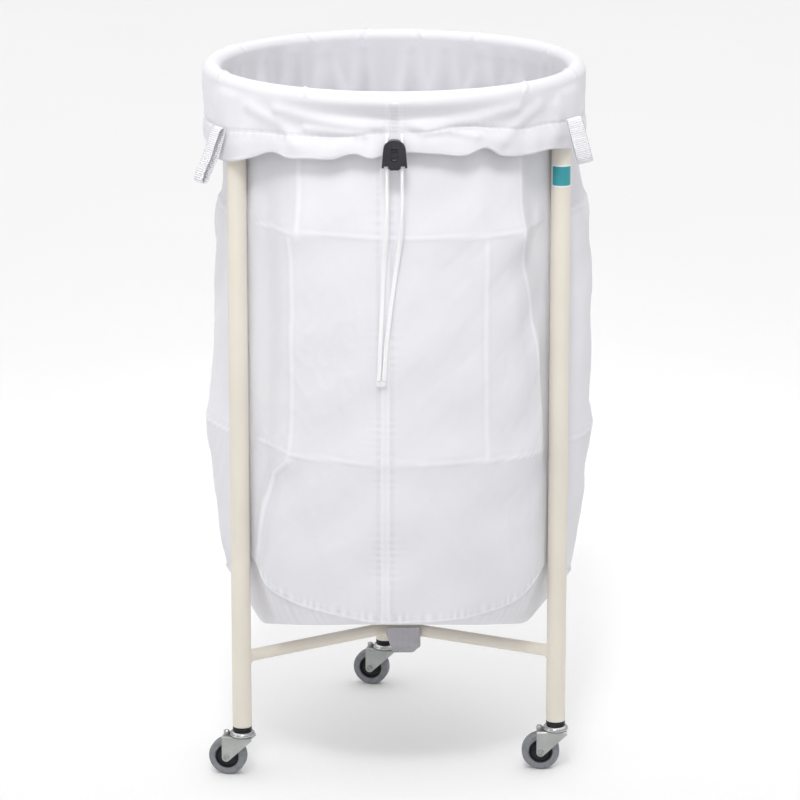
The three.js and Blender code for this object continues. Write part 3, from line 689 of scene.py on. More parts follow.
def make_frame():
    for name, direction in LEGS.items():
        foot = polar(direction, LEG_CIRCLE, 0)
        lip = 0.6
        profile = rounded([
            (0, LEG_BOTTOM), (LEG_RADIUS, LEG_BOTTOM), (LEG_RADIUS, LEG_TOP), (0, LEG_TOP),
        ], lip)
        levels = np.linspace(LEG_BOTTOM + lip * 2, LEG_TOP - lip * 2, 30)
        middle = len(profile) // 2
        profile = profile[:middle] + [(LEG_RADIUS, z) for z in levels] + profile[middle:]
        verts, faces = lathe(profile, 64)
        leg = make_piece(
            f"tube_{name}", verts + foot, faces, "trolley", PAINT, [f"leg_{name}"],
        )
        shade_by_angle(leg, 40)

        segments, rings = 48, 12
        turn = np.arange(segments) * 360 / segments
        y, z = STRUT_RADIUS * cosd(turn), STRUT_RADIUS * sind(turn)
        near = np.abs(y) / math.tan(math.radians(60)) + 0.2
        far = LEG_CIRCLE - np.sqrt(LEG_RADIUS ** 2 - y ** 2) - 0.1
        rows = [
            np.stack([mix(near, far, t), y, z + STRUT_HEIGHT], -1)
            for t in np.linspace(0, 1, rings)
        ]
        ends = np.array([[0.2, 0, STRUT_HEIGHT], [far.max(), 0, STRUT_HEIGHT]])
        verts = np.concatenate(rows + [ends])
        faces = grid_faces(rings, segments, False, True)
        faces += end_fans(rings * segments, (rings - 1) * segments, segments)
        strut = make_piece(
            f"brace_{name}", turn_z(verts, direction), faces, "trolley", PAINT,
            [f"strut_{name}"],
        )
        shade_by_angle(strut, 40)

        fine = np.arange(72) * 5.0
        wide = STRUT_RADIUS + 0.5
        ring_y, ring_z = wide * cosd(fine), wide * sind(fine)
        ring = np.stack([
            LEG_CIRCLE - np.sqrt((LEG_RADIUS + 0.4) ** 2 - ring_y ** 2), ring_y, ring_z + STRUT_HEIGHT,
        ], -1)
        ways = np.stack([-np.ones(72), cosd(fine), sind(fine)], -1)
        verts, faces = bead(ring, ways, 1.7, 11 + direction)
        make_piece(f"weld_{name}", turn_z(verts, direction), faces, "trolley", PAINT)

        half = np.linspace(-90, 90, 31)
        reach = STRUT_RADIUS * cosd(half) / math.sin(math.radians(60))
        seam = np.stack([reach, np.zeros(31), STRUT_RADIUS * sind(half) + STRUT_HEIGHT], -1)
        ways = np.stack([cosd(half), np.zeros(31), sind(half)], -1)
        verts, faces = bead(seam, ways, 1.2, 5 + direction, closed=False)
        verts = turn_z(verts, direction + 60)
        verts[:, 2] = np.minimum(verts[:, 2], STRUT_HEIGHT + STRUT_RADIUS + 0.2)
        make_piece(f"hub_weld_{name}", verts, faces, "trolley", PAINT)


# ---------------------------------------------------------------- castors

def on_axle(verts):
    x, y, z = np.asarray(verts, float).T
    return np.stack([x + TRAIL, -z, y + WHEEL_RADIUS], -1)


def mirrored(half):
    return [(r, -h) for r, h in reversed(half)] + half


def make_castors():
    low = LEG_BOTTOM - 6
    flange = rounded([
        (5.9, low), (12.1, low), (12.7, low + 0.6), (12.7, low + 2.1), (11.7, low + 2.6),
        (11.7, low + 3.1), (12.7, low + 3.6), (12.7, LEG_BOTTOM - 0.3), (10.8, LEG_BOTTOM - 0.2),
        (10.8, LEG_BOTTOM + 30), (5.9, LEG_BOTTOM + 30),
    ], 0.35)
    dome = rounded([
        (5.9, CROWN + 6.9), (11.4, CROWN + 6.9), (14.6, CROWN + 6.2), (16.6, CROWN + 4.2),
        (17.3, CROWN + 2.0), (17.0, CROWN + 0.5), (15.6, CROWN + 0.5), (15.2, CROWN + 2.4),
        (13.4, CROWN + 4.4), (11.8, CROWN + 5.2), (5.9, CROWN + 5.2),
    ], 1.2, 4)
    rivet = rounded([
        (0, -14.5), (1.3, -14.4), (1.6, -13.3), (2.3, -13.3), (2.6, -14.5), (4.0, -14.5), (4.4, -13.15),
        (2.9, -13.1), (2.9, 13.1), (4.4, 13.15), (4.0, 14.5), (2.6, 14.5), (2.3, 13.3), (1.6, 13.3),
        (1.3, 14.4), (0, 14.5),
    ], 0.3)
    hub = mirrored(rounded([
        (15.5, 0), (15.5, 7.9), (14.6, 8.3), (13.9, 7.9), (13.3, 5.2), (11.8, 4.4), (8.4, 4.4),
        (7.2, 4.9), (6.4, 6.6), (5.9, 10.4), (3.4, 10.5), (3.4, 0),
    ], 0.5)[1:-1])
    tread = mirrored(rounded([
        (WHEEL_RADIUS, 0), (WHEEL_RADIUS, 5.2), (24.3, 7.2), (22.9, 8.5), (21.6, 8.95),
        (21.2, 8.6), (20.7, 8.6), (20.3, 8.95), (17.6, 8.8), (15.9, 8.1), (15.9, 0),
    ], 0.6)[1:-1])
    for name, direction in LEGS.items():
        trail = TRAILS[name]
        foot = polar(direction, LEG_CIRCLE, 0)

        def put(label, solid, body, material, node, sharp=35):
            verts, faces = solid
            obj = make_piece(
                f"{label}_{name}", turn_z(verts, trail) + foot, faces, body, material, [node],
            )
            shade_by_angle(obj, sharp)

        put("flange", lathe(flange, 56), "trolley", BLACK, f"castor_socket_{name}")
        put("dome", lathe(dome, 72), "trolley", CHROME, f"castor_race_{name}", 60)
        verts, faces = lathe(rivet, 32)
        put("rivet", (on_axle(verts), faces), f"swivel_{name}", ZINC, f"castor_axle_{name}")
        verts, faces = lathe(hub, 64)
        put("hub", (on_axle(verts), faces), f"wheel_{name}", BLACK, f"wheel_hub_{name}")
        verts, faces = lathe(tread, 96)
        put("tyre", (on_axle(verts), faces), f"wheel_{name}", TYRE, f"wheel_tyre_{name}")


# ---------------------------------------------------------------- bag surface

WALL_LEVELS = [
    235, 265, 298, 331, 365, 398, 431, 497, 562, 627, 676, 724, 740, 756, 800, 850, 905,
]
WALL_RADII = {
    0: [233, 240, 245, 250, 255, 257, 258.5, 260, 260.5, 260.5, 259, 256, 253, 247, 240, 230,
        225.3],
    30: [230, 238, 244, 250, 254, 257, 258, 260, 260.5, 260.5, 259, 256, 253, 248, 240, 230,
        225.3],
    60: [228, 234, 240, 245, 248, 249, 250, 250, 250, 250, 249, 247, 245, 242, 235, 228, 225.3],
    80: [225, 226, 227, 228, 228, 228, 228, 227, 227, 227, 227, 226, 226, 226, 225, 225, 225],
    90: [224, 225, 225, 225.4, 225.4, 225.4, 225.4, 225.4, 225.4, 225.4, 225.4, 225.4, 225.4,
        225.4, 225.4, 225.2, 225],
    101: [225, 226, 227, 228, 228, 228, 228, 227, 227, 227, 227, 226, 226, 226, 225, 225, 225],
    120: [225, 230, 234, 237, 239, 240, 240, 239, 238, 238, 237, 235, 234, 231, 228, 226, 225.3],
    150: [225, 231, 236, 240, 243, 245, 246, 244, 242, 240, 238, 236, 234, 230, 226, 225, 225.3],
    180: [224, 226.4, 231.3, 235, 239.9, 242.2, 245.4, 239.7, 236.3, 234.2, 232.3, 231.8, 227.6,
        222.2, 222, 224, 225],
    198: [225, 227, 229, 231, 233, 234, 235, 232, 230, 229, 228, 227, 225, 223, 222, 223, 225],
    210: [224, 225, 225.4, 225.4, 225.4, 225.4, 225.4, 225.4, 225.2, 225, 225, 225, 225, 225, 225,
        225, 225],
    220: [223, 226, 227.5, 227, 226, 224, 222, 217.5, 216.5, 216, 216, 216.5, 217, 217.5, 218.5,
        221, 224.5],
    229: [222.5, 226, 228, 229, 229, 229, 228, 225, 224, 224, 224, 224.5, 225, 225, 224.5, 224.5,
        225],
    238: [222, 225, 227, 228.5, 229, 229, 229, 227.5, 227, 227, 227, 227.5, 228, 228.5, 227.5, 226,
        225.2],
    250: [222, 225.5, 228, 229.5, 230, 229.2, 226.5, 223.8, 224.8, 226, 226.2, 226, 225.4, 225,
        224, 222, 223],
    267: [222, 225, 227.5, 229, 229.4, 228.8, 226, 223, 224.2, 225.4, 225.6, 225.4, 224.6, 224,
        223, 221.5, 222.5],
    282: [223, 226, 228.5, 230, 230.4, 229.8, 227, 224.4, 225.4, 226.4, 226.6, 226.2, 225.8, 225.4,
        224.2, 222, 223],
    296: [224, 226, 227, 228, 229, 229.5, 230, 229.4, 229, 229, 229, 229.2, 229.4, 229.6, 228.4,
        226.4, 225],
    308: [224.5, 227, 228.5, 229.5, 230.5, 231, 231, 231, 231, 230.5, 230, 230.5, 231, 231.5, 230,
        227.4, 225],
    318: [224, 227, 228.5, 229, 229.5, 229.5, 229, 228, 226, 222, 219, 219, 219.5, 220, 221, 223,
        225],
    330: [224, 225, 225.4, 225.4, 225.4, 225.4, 225.4, 225.4, 225.2, 225, 225, 225, 225, 225, 225,
        225, 225],
    342: [229, 235, 237, 241, 246, 248, 249, 250, 251, 251, 249, 247, 245, 239, 233, 228, 225.3],
}
SEAM_HEIGHTS = {
    0: 245, 30: 246, 60: 247, 90: 262, 120: 248, 150: 250, 180: 252, 198: 280, 206: 296, 213: 296,
    219: 272, 231: 255, 246: 246.5, 263: 240, 282: 240, 296.5: 242, 314: 254, 327: 280, 334: 288,
    345: 256,
}
POCKET_EDGE = {
    "left": [(213, 296), (215.5, 320), (217, 345), (219.5, 380), (224, 424), (231, 445)],
    "right": [(327, 283), (328, 330), (328, 390), (325.5, 432), (327, 446)],
}
HEM_HEIGHTS = {
    0: 848, 20: 851, 45: 846, 70: 850, 90: 842, 110: 848, 135: 852, 160: 845, 180: 848, 195: 840,
    206.5: 830, 215: 834, 221: 842, 227.6: 852, 234: 847.6, 241: 849, 248: 850, 255.4: 858,
    259.5: 852.5, 264: 856, 271: 860, 280.7: 857.5, 288.5: 854.5, 295.4: 862, 299.3: 852,
    306.5: 846.6, 312: 847, 318: 848.6, 326: 845, 332: 841, 345: 843,
}
STITCH_HEIGHTS = {
    0: 876, 45: 874, 90: 870, 135: 877, 180: 872, 200: 868, 210.6: 868, 220.7: 872.4, 238: 874.4,
    254: 878, 263: 882.6, 277.7: 884.4, 287: 889, 298.7: 883.4, 308: 878, 318: 879.2, 330: 876,
    345: 874,
}
# Cuff radius at the roll's foot, at the hem's stitch line and at the hem's lower edge
CUFF_FOOT = {
    0: 248.5, 30: 248, 60: 248.5, 90: 252.5, 120: 248.5, 150: 248, 180: 249.5, 197: 250.5,
    210: 253.6, 222: 248.5, 236: 240.5, 250: 235.5, 267: 233, 284: 235.5, 300: 240.5, 318: 249,
    330: 253.4, 343: 249.5,
}
CUFF_STITCH = {
    0: 246, 30: 245, 60: 246, 90: 257, 120: 246, 150: 245, 180: 246.5, 197: 251, 210: 257.4,
    222: 248.5, 236: 241, 250: 236.5, 267: 234, 284: 236, 300: 240.5, 318: 248.5, 330: 257.2,
    343: 250,
}
CUFF_HEM = {
    0: 246, 30: 245.5, 60: 247, 90: 258, 120: 246.5, 150: 245.5, 180: 246, 197: 252, 210: 258.4,
    222: 249.5, 236: 246, 250: 244, 259: 240.5, 267: 238.8, 275: 240.5, 286: 244.5, 300: 246,
    318: 251, 330: 258, 343: 251,
}
UPPER_CREASE = {0: 752, 150: 750, 224: 748, 267: 749, 313: 745, 340: 752}
LOWER_CREASE = {0: 446, 150: 455, 224: 460, 233: 457, 267: 454, 297: 451, 324: 444, 340: 446}
# Folds that run up the cloth: [(direction, height), ...], width, height of the fold
UPRIGHT_FOLDS = [
    ([(235.4, 872), (235.2, 744)], 42, 2.6),
    ([(311, 872), (311.4, 738)], 42, 2.8),
    ([(231.8, 738), (231.6, 450)], 34, 1.5),
    ([(297.4, 738), (297.8, 452)], 34, 1.3),
    ([(311.4, 738), (319, 630), (323, 540), (325, 446)], 30, 3.0),
    ([(170, 860), (168, 460)], 40, 2.0),
    ([(12, 860), (10, 460)], 40, 2.0),
    ([(128, 860), (130, 300)], 44, 2.2),
    ([(52, 860), (50, 300)], 44, 2.2),
]
# Pleats on the inside under the hoop: direction, lean in degrees by the foot, size
PLEATS = [
    (6, 7, 4.0), (24, 9, 5.0), (41, 5, 4.4), (55, 8, 5.6), (69, 4, 4.2), (81, 3, 5.2), (97, -3, 4.6),
    (111, -7, 5.6), (124, 3, 4.2), (137, -7, 5.2), (153, -8, 4.4), (170, -7, 5.0), (188, -4, 3.4),
    (200, -3, 3.0), (226, 2, 2.0), (246, -2, 1.8), (288, 2, 1.8), (304, -2, 2.0), (342, 3, 3.0),
]
# Soft folds on the cuff: [(direction, height), ...], width, height of the fold
CUFF_FOLDS = [
    ([(231, 905), (247, 896), (262, 888)], 9, 6.0), ([(240, 885), (254, 881), (262, 879)], 5, 3.0),
    ([(274, 889), (288, 897), (305, 906)], 9, 5.5), ([(273, 883), (283, 885), (292, 877)], 5, 3.0),
    ([(220, 905), (231, 888), (236, 866)], 9, 3.2), ([(314, 905), (307, 888), (301, 868)], 9, 3.2),
    ([(322, 900), (326, 880), (324, 862)], 9, 2.4),
]
TUCKS = [
    (238.5, 4), (310.5, -5), (118, 5), (96, -4), (79, 4), (57, -5), (200, 4), (338, -4), (150, 5),
    (22, -5),
]


def round_table(direction, table):
    keys = sorted(table)
    return hermite(np.asarray(direction, float) % 360, keys, [table[k] for k in keys], 360)


def wall_base(direction, height):
    """Smooth wall radius from the table, for arrays of direction and height."""
    keys = sorted(WALL_RADII)
    shape = np.broadcast(direction, height).shape
    direction = np.broadcast_to(direction, shape).ravel()
    height = np.broadcast_to(height, shape).ravel()
    by_level = hermite(direction % 360, keys, [WALL_RADII[k] for k in keys], 360)
    levels = np.asarray(WALL_LEVELS, float)
    slopes = np.gradient(by_level, levels, axis=1)
    i = np.clip(np.searchsorted(levels, height, side="right") - 1, 0, len(levels) - 2)
    row = np.arange(len(height))
    width = levels[i + 1] - levels[i]
    t = np.clip((height - levels[i]) / width, 0, 1)
    start, end = slopes[row, i] * width, slopes[row, i + 1] * width
    radius = cubic(by_level[row, i], by_level[row, i + 1], start, end, t)
    return radius.reshape(shape)


def to_polyline(direction, height, points):
    """Distance in millimetres, on the cloth, to a line given by direction and height."""
    per_degree = WALL_MEAN * math.pi / 180
    points = np.array([(d * per_degree, h) for d, h in points], float)
    x = np.asarray(direction, float) * per_degree
    best = np.full(np.broadcast(x, height).shape, 1e9)
    for a, b in zip(points, points[1:]):
        way = b - a
        t = np.clip(((x - a[0]) * way[0] + (height - a[1]) * way[1]) / (way @ way), 0, 1)
        gap = np.hypot(x - a[0] - t * way[0], height - a[1] - t * way[1])
        best = np.minimum(best, gap)
    return best


def near_leg(direction, low, high):
    gap = np.minimum.reduce([away(direction, d) for d in LEGS.values()])
    return 1 - smooth(gap, low, high)


def wall_radius(direction, height, crumpled=True):
    direction, height = np.broadcast_arrays(np.asarray(direction, float), np.asarray(height, float))
    radius = wall_base(direction, height)
    free = 1 - 0.85 * near_leg(direction, 3, 9)
    upper = round_table(direction, UPPER_CREASE)
    lower = round_table(direction, LOWER_CREASE)
    folds = ridge(height - upper, 60, 4.2) + ridge(height - upper, 4.5, 1.0)
    folds = folds + ridge(height - lower, 56, 4.2) + ridge(height - lower, 4.5, 1.0)
    for line, width, size in UPRIGHT_FOLDS:
        gap = to_polyline(direction, height, line)
        folds = folds + ridge(gap, width, 1.35 * size) + ridge(gap, 3.5, 0.45)
    for line in POCKET_EDGE.values():
        gap = to_polyline(direction, height, line)
        folds = folds + ridge(gap, 20, 3.4) + ridge(gap, 3.2, 1.1)
    seam_gap = height - round_table(direction, SEAM_HEIGHTS)
    front = 1 - smooth(away(direction, 268), 55, 68)
    pucker = np.sin(direction * 2.0 + 2 * np.sin(direction * 0.37)) * np.sin(direction * 0.31)
    folds = folds + ridge(seam_gap, 3.6, 2.2)
    folds = folds + 0.7 * pucker * ridge(seam_gap - 4, 16, 1) * front
    across = (direction - SEAM_DIRECTION) * WALL_MEAN * math.pi / 180
    band = 1 - smooth(np.abs(across), 5.6, 6.8)
    along = np.sin(height * 0.62 + 2.2 * np.sin(height / 13)) * (0.55 + 0.45 * np.sin(height / 23))
    wrinkle = np.exp(-np.clip(np.abs(across) - 6, 0, None) / 8.0) * (np.abs(across) < 40)
    seam = 0.9 * band + along * wrinkle * mix(0.45, 0.15, band)
    seam = seam * (1 - smooth(height, 845, 870))
    crumple = waves(direction, height, 3, 9, (5, 17), (60, 190))
    sharp = waves(direction, height, 8, 8, (9, 26), (45, 130))
    sharp = np.clip(1 - np.abs(sharp) * 1.6, 0, 1) ** 2
    patch = smooth(waves(direction, height, 21, 6, (2, 9), (120, 400)), -0.2, 0.9)
    relief = 1.35 * crumple + 1.0 * sharp * patch
    relief = relief + 0.2 * waves(direction, height, 5, 10, (20, 60), (18, 60))
    inward = np.minimum(relief, 1.4) * crumpled * (1 - 0.7 * smooth(height, 770, 850))
    calm = 1 - 0.75 * (1 - smooth(away(direction, 264), 2.5, 9)) * smooth(height, 540, 580)
    radius = radius + (folds + inward * calm) * free + seam
    under = smooth(height, 760, 860) * (1 - 0.75 * smooth(height, 862, 905))
    for centre, lean, size in PLEATS:
        at = centre + lean * smooth(-height, -900, -760)
        gap = ((direction - at + 180) % 360 - 180) * WALL_MEAN * math.pi / 180
        spread = mix(36, 17, smooth(height, 790, 915))
        soft = np.clip(1 - np.abs(gap) / spread, 0, 1)
        radius = radius - 1.3 * size * under * soft * soft * (3 - 2 * soft) * free
    gap_limit = mix(300, 226.0, near_leg(direction, 2.4, 3.4))
    return np.minimum(radius, gap_limit)


def base_height(direction, fraction, foot):
    """The base rests on the brace and lifts towards the front, where it meets the wall."""
    seam = round_table(direction, SEAM_HEIGHTS) - 1.5
    off_front = away(direction, FRONT)
    full = 0.19 * smooth(off_front, 15, 35) * (1 - smooth(off_front, 60, 85))
    bowl = np.clip((fraction - 0.64 - full) / (0.36 - full), 0, 1) ** 1.35
    bowl = (seam - BASE_LOW) * bowl
    forward = np.clip(foot * fraction * cosd(np.asarray(direction) - FRONT), 0, None)
    ramp = 0.3 * forward ** 2 / (forward + 12)
    sag = waves(direction, fraction * 220, 31, 8, (2, 9), (50, 160)) * np.sin(fraction * math.pi)
    lift = BASE_LOW + np.hypot(bowl, ramp) + 0.7 * np.abs(sag) + 0.3
    return np.minimum(lift, np.maximum(seam, BASE_LOW))


def cuff_point(direction, t, folded=True):
    """Radius and height on the cuff outside, t from 0 at the roll to 1 at the hem's edge."""
    hem = round_table(direction, HEM_HEIGHTS)
    stitch = round_table(direction, STITCH_HEIGHTS)
    height = mix(HOOP_HEIGHT, hem, t)
    foot_level = 898 + 10 * near_leg(direction, 4.5, 9)
    foot = round_table(direction, CUFF_FOOT)
    middle = round_table(direction, CUFF_STITCH)
    edge = round_table(direction, CUFF_HEM)
    top = HOOP_RADIUS + ROLL
    a = smooth(-height, -HOOP_HEIGHT, -foot_level)
    b = np.clip((foot_level - height) / np.maximum(foot_level - stitch, 1), 0, 1)
    c = np.clip((stitch - height) / np.maximum(stitch - hem, 1), 0, 1)
    radius = mix(top, foot, a)
    radius = radius + (middle - foot) * b ** 0.8 + (edge - middle) * (c * (2 - c))
    free = 1 - 0.8 * near_leg(direction, 3, 8)
    lock = 1 - (1 - smooth(away(direction, FRONT), 6, 10)) * smooth(-height, -895, -880)
    drape = waves(direction, height, 41, 7, (7, 19), (140, 500))
    small = waves(direction, height, 47, 7, (22, 55), (50, 160))
    radius = radius + (1.9 * drape + 0.6 * small) * folded * smooth(t, 0.12, 0.8) * free * lock
    for line, width, size in CUFF_FOLDS:
        gap = to_polyline(direction, height, line) / width
        radius = radius + size * np.exp(-gap * gap) * free * lock * folded
    radius = radius - ridge(height - stitch, 4.5, 1.6) * lock
    radius = radius + 0.9 * np.exp(-((height - (stitch + hem) / 2) / 9.0) ** 2) * lock
    pucker = np.sin(direction * 2 * math.pi / 2.3 + 1.5 * np.sin(direction * 0.5))
    radius = radius + 0.3 * pucker * ridge(height - stitch, 12, 1) * lock
    across = (direction - CUFF_SEAM_DIRECTION) * CUFF_MEAN * math.pi / 180
    band = 1 - smooth(np.abs(across), 4.8, 5.8)
    ripple = np.sin(height * 2 * math.pi / 5.2) * np.exp(-np.abs(across) / 9.0)
    radius = radius + (0.9 * band + 0.5 * ripple) * (1 - smooth(-height, -886, -880))
    return radius, height


def tuck_relief(direction, run):
    """Small pinched folds across the roll. run is 0 at its inside and 1 at its outside."""
    total = 0
    for centre, lean in TUCKS:
        gap = (direction - centre - lean * (run - 0.5) + 180) % 360 - 180
        gap = gap * HOOP_RADIUS * math.pi / 180
        total = total + ridge(gap - 1.5, 7, 1.9) - ridge(gap + 2.5, 3.5, 0.9)
    return total


def bag_columns():
    spans = [(0, 204, 1.0), (204, 240, 0.5), (240, 258, 0.7), (258, 271, 0.22), (271, 304, 0.7),
             (304, 336, 0.5), (336, 360, 1.0)]
    return np.concatenate([np.arange(a, b - step / 2, step) for a, b, step in spans])


def bag_rows(direction, crumpled=True):
    """Rows of [radius, height] from the middle of the base to the free edge in the hem."""
    rows = []
    seam = round_table(direction, SEAM_HEIGHTS)
    foot = wall_radius(direction, seam, crumpled)
    for fraction in np.concatenate([np.linspace(0.03, 0.6, 10), np.linspace(0.64, 0.985, 20)]):
        rows.append((foot * fraction, base_height(direction, fraction, foot)))
    rows.append((foot - 1.3, seam - 1.2))
    for t in np.concatenate([[0, 0.002, 0.005], np.linspace(0.009, 1, 148)]):
        height = mix(seam, WALL_TOP, t)
        rows.append((wall_radius(direction, height, crumpled), height))
    top = wall_radius(direction, np.full_like(direction, WALL_TOP))
    for t in (0.33, 0.66):
        rows.append((mix(top, HOOP_RADIUS - ROLL, smooth(t, 0, 1)), mix(WALL_TOP, HOOP_HEIGHT, t)))
    for t in np.linspace(0, 1, 25):
        angle = 180 - 180 * t
        size = ROLL + tuck_relief(direction, t) * math.sin(math.radians(angle)) ** 0.5
        size = np.maximum(size, ROLL - 0.35)
        rows.append((HOOP_RADIUS + size * cosd(angle), HOOP_HEIGHT + size * sind(angle)))
    for t in np.linspace(0.025, 0.985, 34):
        rows.append(cuff_point(direction, t, crumpled))
    outer, low = cuff_point(direction, 1.0)
    fold = 1.9
    for angle in (0, 45, 90, 135, 180):
        rows.append((outer - fold + fold * cosd(angle), low - fold * sind(angle)))
    stitch = round_table(direction, STITCH_HEIGHTS)
    for t in np.linspace(0.12, 1, 8):
        height = mix(low, stitch - 1, t)
        back, _ = cuff_point(direction, 1 - (height - low) / (HOOP_HEIGHT - low))
        rows.append((np.maximum(back, outer - 2.5) - 2 * fold + 1.6 * smooth(t, 0.5, 1), height))
    return rows


def proudness(points, direction):
    """How far each place stands out from its neighbours about 6 mm away, from -1 to 1."""
    def turned(degrees):
        at = (direction + degrees) % 360
        return np.stack([
            np.stack([np.interp(at, direction, line, period=360) for line in row.T], -1)
            for row in points
        ])

    left, right = turned(-1.4), turned(1.4)
    below = np.concatenate([points[:1], points[:-1]])
    above = np.concatenate([points[1:], points[-1:]])
    outward = unit(np.cross(right - left, above - below) + 1e-9)
    gap = points - (left + right + below + above) / 4
    return (gap * outward).sum(-1) / 0.45


def make_bag():
    direction = bag_columns()
    rows = bag_rows(direction)
    points = np.stack([polar(direction, radius, height) for radius, height in rows])
    count, columns = points.shape[:2]
    verts = np.concatenate([points.reshape(-1, 3), points[0].mean(0, keepdims=True)])
    faces = grid_faces(count, columns, False, True)
    centre = len(verts) - 1
    faces += [(centre, (j + 1) % columns, j) for j in range(columns)]
    bag = make_piece("bag", verts, faces, "trolley", CLOTH_WHITE, ["linen_bag"])

    steps = np.linalg.norm(np.diff(points, axis=0), axis=-1).mean(1)
    run = np.concatenate([[0], np.cumsum(steps)])
    layer = bag.data.uv_layers.new(name="cloth")
    corner_verts = np.zeros(len(bag.data.loops), np.int32)
    bag.data.loops.foreach_get("vertex_index", corner_verts)
    around = np.radians(direction) * CUFF_MEAN
    total_around = 2 * math.pi * CUFF_MEAN
    u = np.where(corner_verts < centre, around[np.minimum(corner_verts, centre - 1) % columns], 0)
    v = np.where(corner_verts < centre, run[np.minimum(corner_verts, centre - 1) // columns], 0)
    face_of = np.repeat(np.arange(len(bag.data.polygons)), [p.loop_total for p in bag.data.polygons])
    widest = np.zeros(len(bag.data.polygons))
    np.maximum.at(widest, face_of, u)
    u = np.where(widest[face_of] - u > total_around / 2, u + total_around, u)
    layer.data.foreach_set("uv", (np.stack([u, v], -1) * MM).ravel())

    # Relief of the uncrumpled bag, for the cloth's painted shade in creases and painted highlight on
    # folds.
    uncrumpled = bag_rows(direction, False)
    pressed = np.stack([polar(direction, radius, height) for radius, height in uncrumpled])
    mark_relief(bag, np.append(proudness(pressed, direction), 0))

    thickness = bag.modifiers.new("cloth", "SOLIDIFY")
    thickness.thickness = CLOTH * MM
    thickness.offset = 0


def surface_frames(place_at, u, v, du, dv):
    """Places, outward normals and ways along u on a surface given by place_at."""
    here = place_at(u, v)
    along_u = unit(place_at(u + du, v) - place_at(u - du, v))
    along_v = unit(place_at(u, v + dv) - place_at(u, v - dv))
    normal = unit(np.cross(along_u, along_v))
    outward = here * [1, 1, 0]
    flip = np.sign((normal * outward).sum(-1, keepdims=True))
    return here, normal * flip, along_u, along_v


def on_wall(direction, height):
    return polar(direction, wall_radius(direction, height) + CLOTH / 2, height)


def on_cuff(direction, t):
    radius, height = cuff_point(direction, t)
    return polar(direction, radius + CLOTH / 2, height)


def cuff_share(direction, height):
    hem = round_table(direction, HEM_HEIGHTS)
    return (HOOP_HEIGHT - height) / (HOOP_HEIGHT - hem)


def make_stitching():
    parts = []
    around = np.arange(0, 360, 0.78)
    around = around[away(around, FRONT) > 1.5]
    for lift in (0.0, 2.2):
        share = cuff_share(around, round_table(around, STITCH_HEIGHTS) + lift)
        here, normal, along, _ = surface_frames(on_cuff, around, share, 0.2, 0.01)
        parts.append(stitches(here, normal, along, 2.3, 0.75, 0.42))
    heights = np.arange(250, 856, 3.4)
    for offset in (-1.3, 1.3):
        across = np.full_like(heights, SEAM_DIRECTION + offset)
        here, normal, _, along = surface_frames(on_wall, across, heights, 0.1, 0.4)
        parts.append(stitches(here, normal, along, 2.4, 0.8, 0.42))
    heights = np.arange(886, 917, 3.0)
    for offset in (-0.95, 0.95):
        across = np.full_like(heights, CUFF_SEAM_DIRECTION + offset)
        share = cuff_share(across, heights)
        here, normal, _, along = surface_frames(on_cuff, across, share, 0.1, 0.01)
        parts.append(stitches(here, normal, along, 2.2, 0.8, 0.42))
    for lift in (5.0, 8.0):
        around = np.arange(0, 360, 0.86)
        here, normal, along, _ = surface_frames(
            on_wall, around, round_table(around, SEAM_HEIGHTS) + lift, 0.2, 0.4,
        )
        parts.append(stitches(here, normal, along, 2.4, 0.8, 0.4))
    verts, faces = join(parts)
    make_piece("stitching", verts, faces, "trolley", THREAD)


def make_hidden_cord():
    """The cord's run inside the hem, between its two layers."""
    spread = math.degrees(CORD_SPACING / 2 / 238)
    direction = np.linspace(FRONT + spread, FRONT + 360 - spread, 300)
    share = np.full_like(direction, 0.97)
    radius, _ = cuff_point(direction, share)
    low = round_table(direction, HEM_HEIGHTS)
    path = polar(direction, radius - 1.9, low + 3.2)
    out = polar(direction, 1, 0)
    along = tangents(path)
    side = unit(np.cross(out, along))
    turn = np.arange(10) * 36
    section = np.broadcast_to(
        np.stack([2.2 * cosd(turn), 0.7 * sind(turn), 0 * turn], -1), (len(path), 10, 3),
    )
    verts, faces = sweep(path, side, out, section)
    make_piece("cord_in_hem", verts, faces, "trolley", BRAID, ["drawcord_in_hem"])


# ---------------------------------------------------------------- loops, tab, label, lock

LEFT_LOOP = [
    (-0.5, 0), (2.5, -2), (9, -14), (18, -36), (29, -58), (31, -66), (26, -68.5), (18, -58),
    (9, -42), (2, -24), (-3, -8), (-3, -2),
]
RIGHT_LOOP = [
    (0, 0), (2.5, -2.5), (5, -16), (6.5, -36), (5, -54), (0, -60), (-4.5, -57), (-6, -45),
    (-6, -28), (-4.5, -12), (-2.5, -2.5),
]


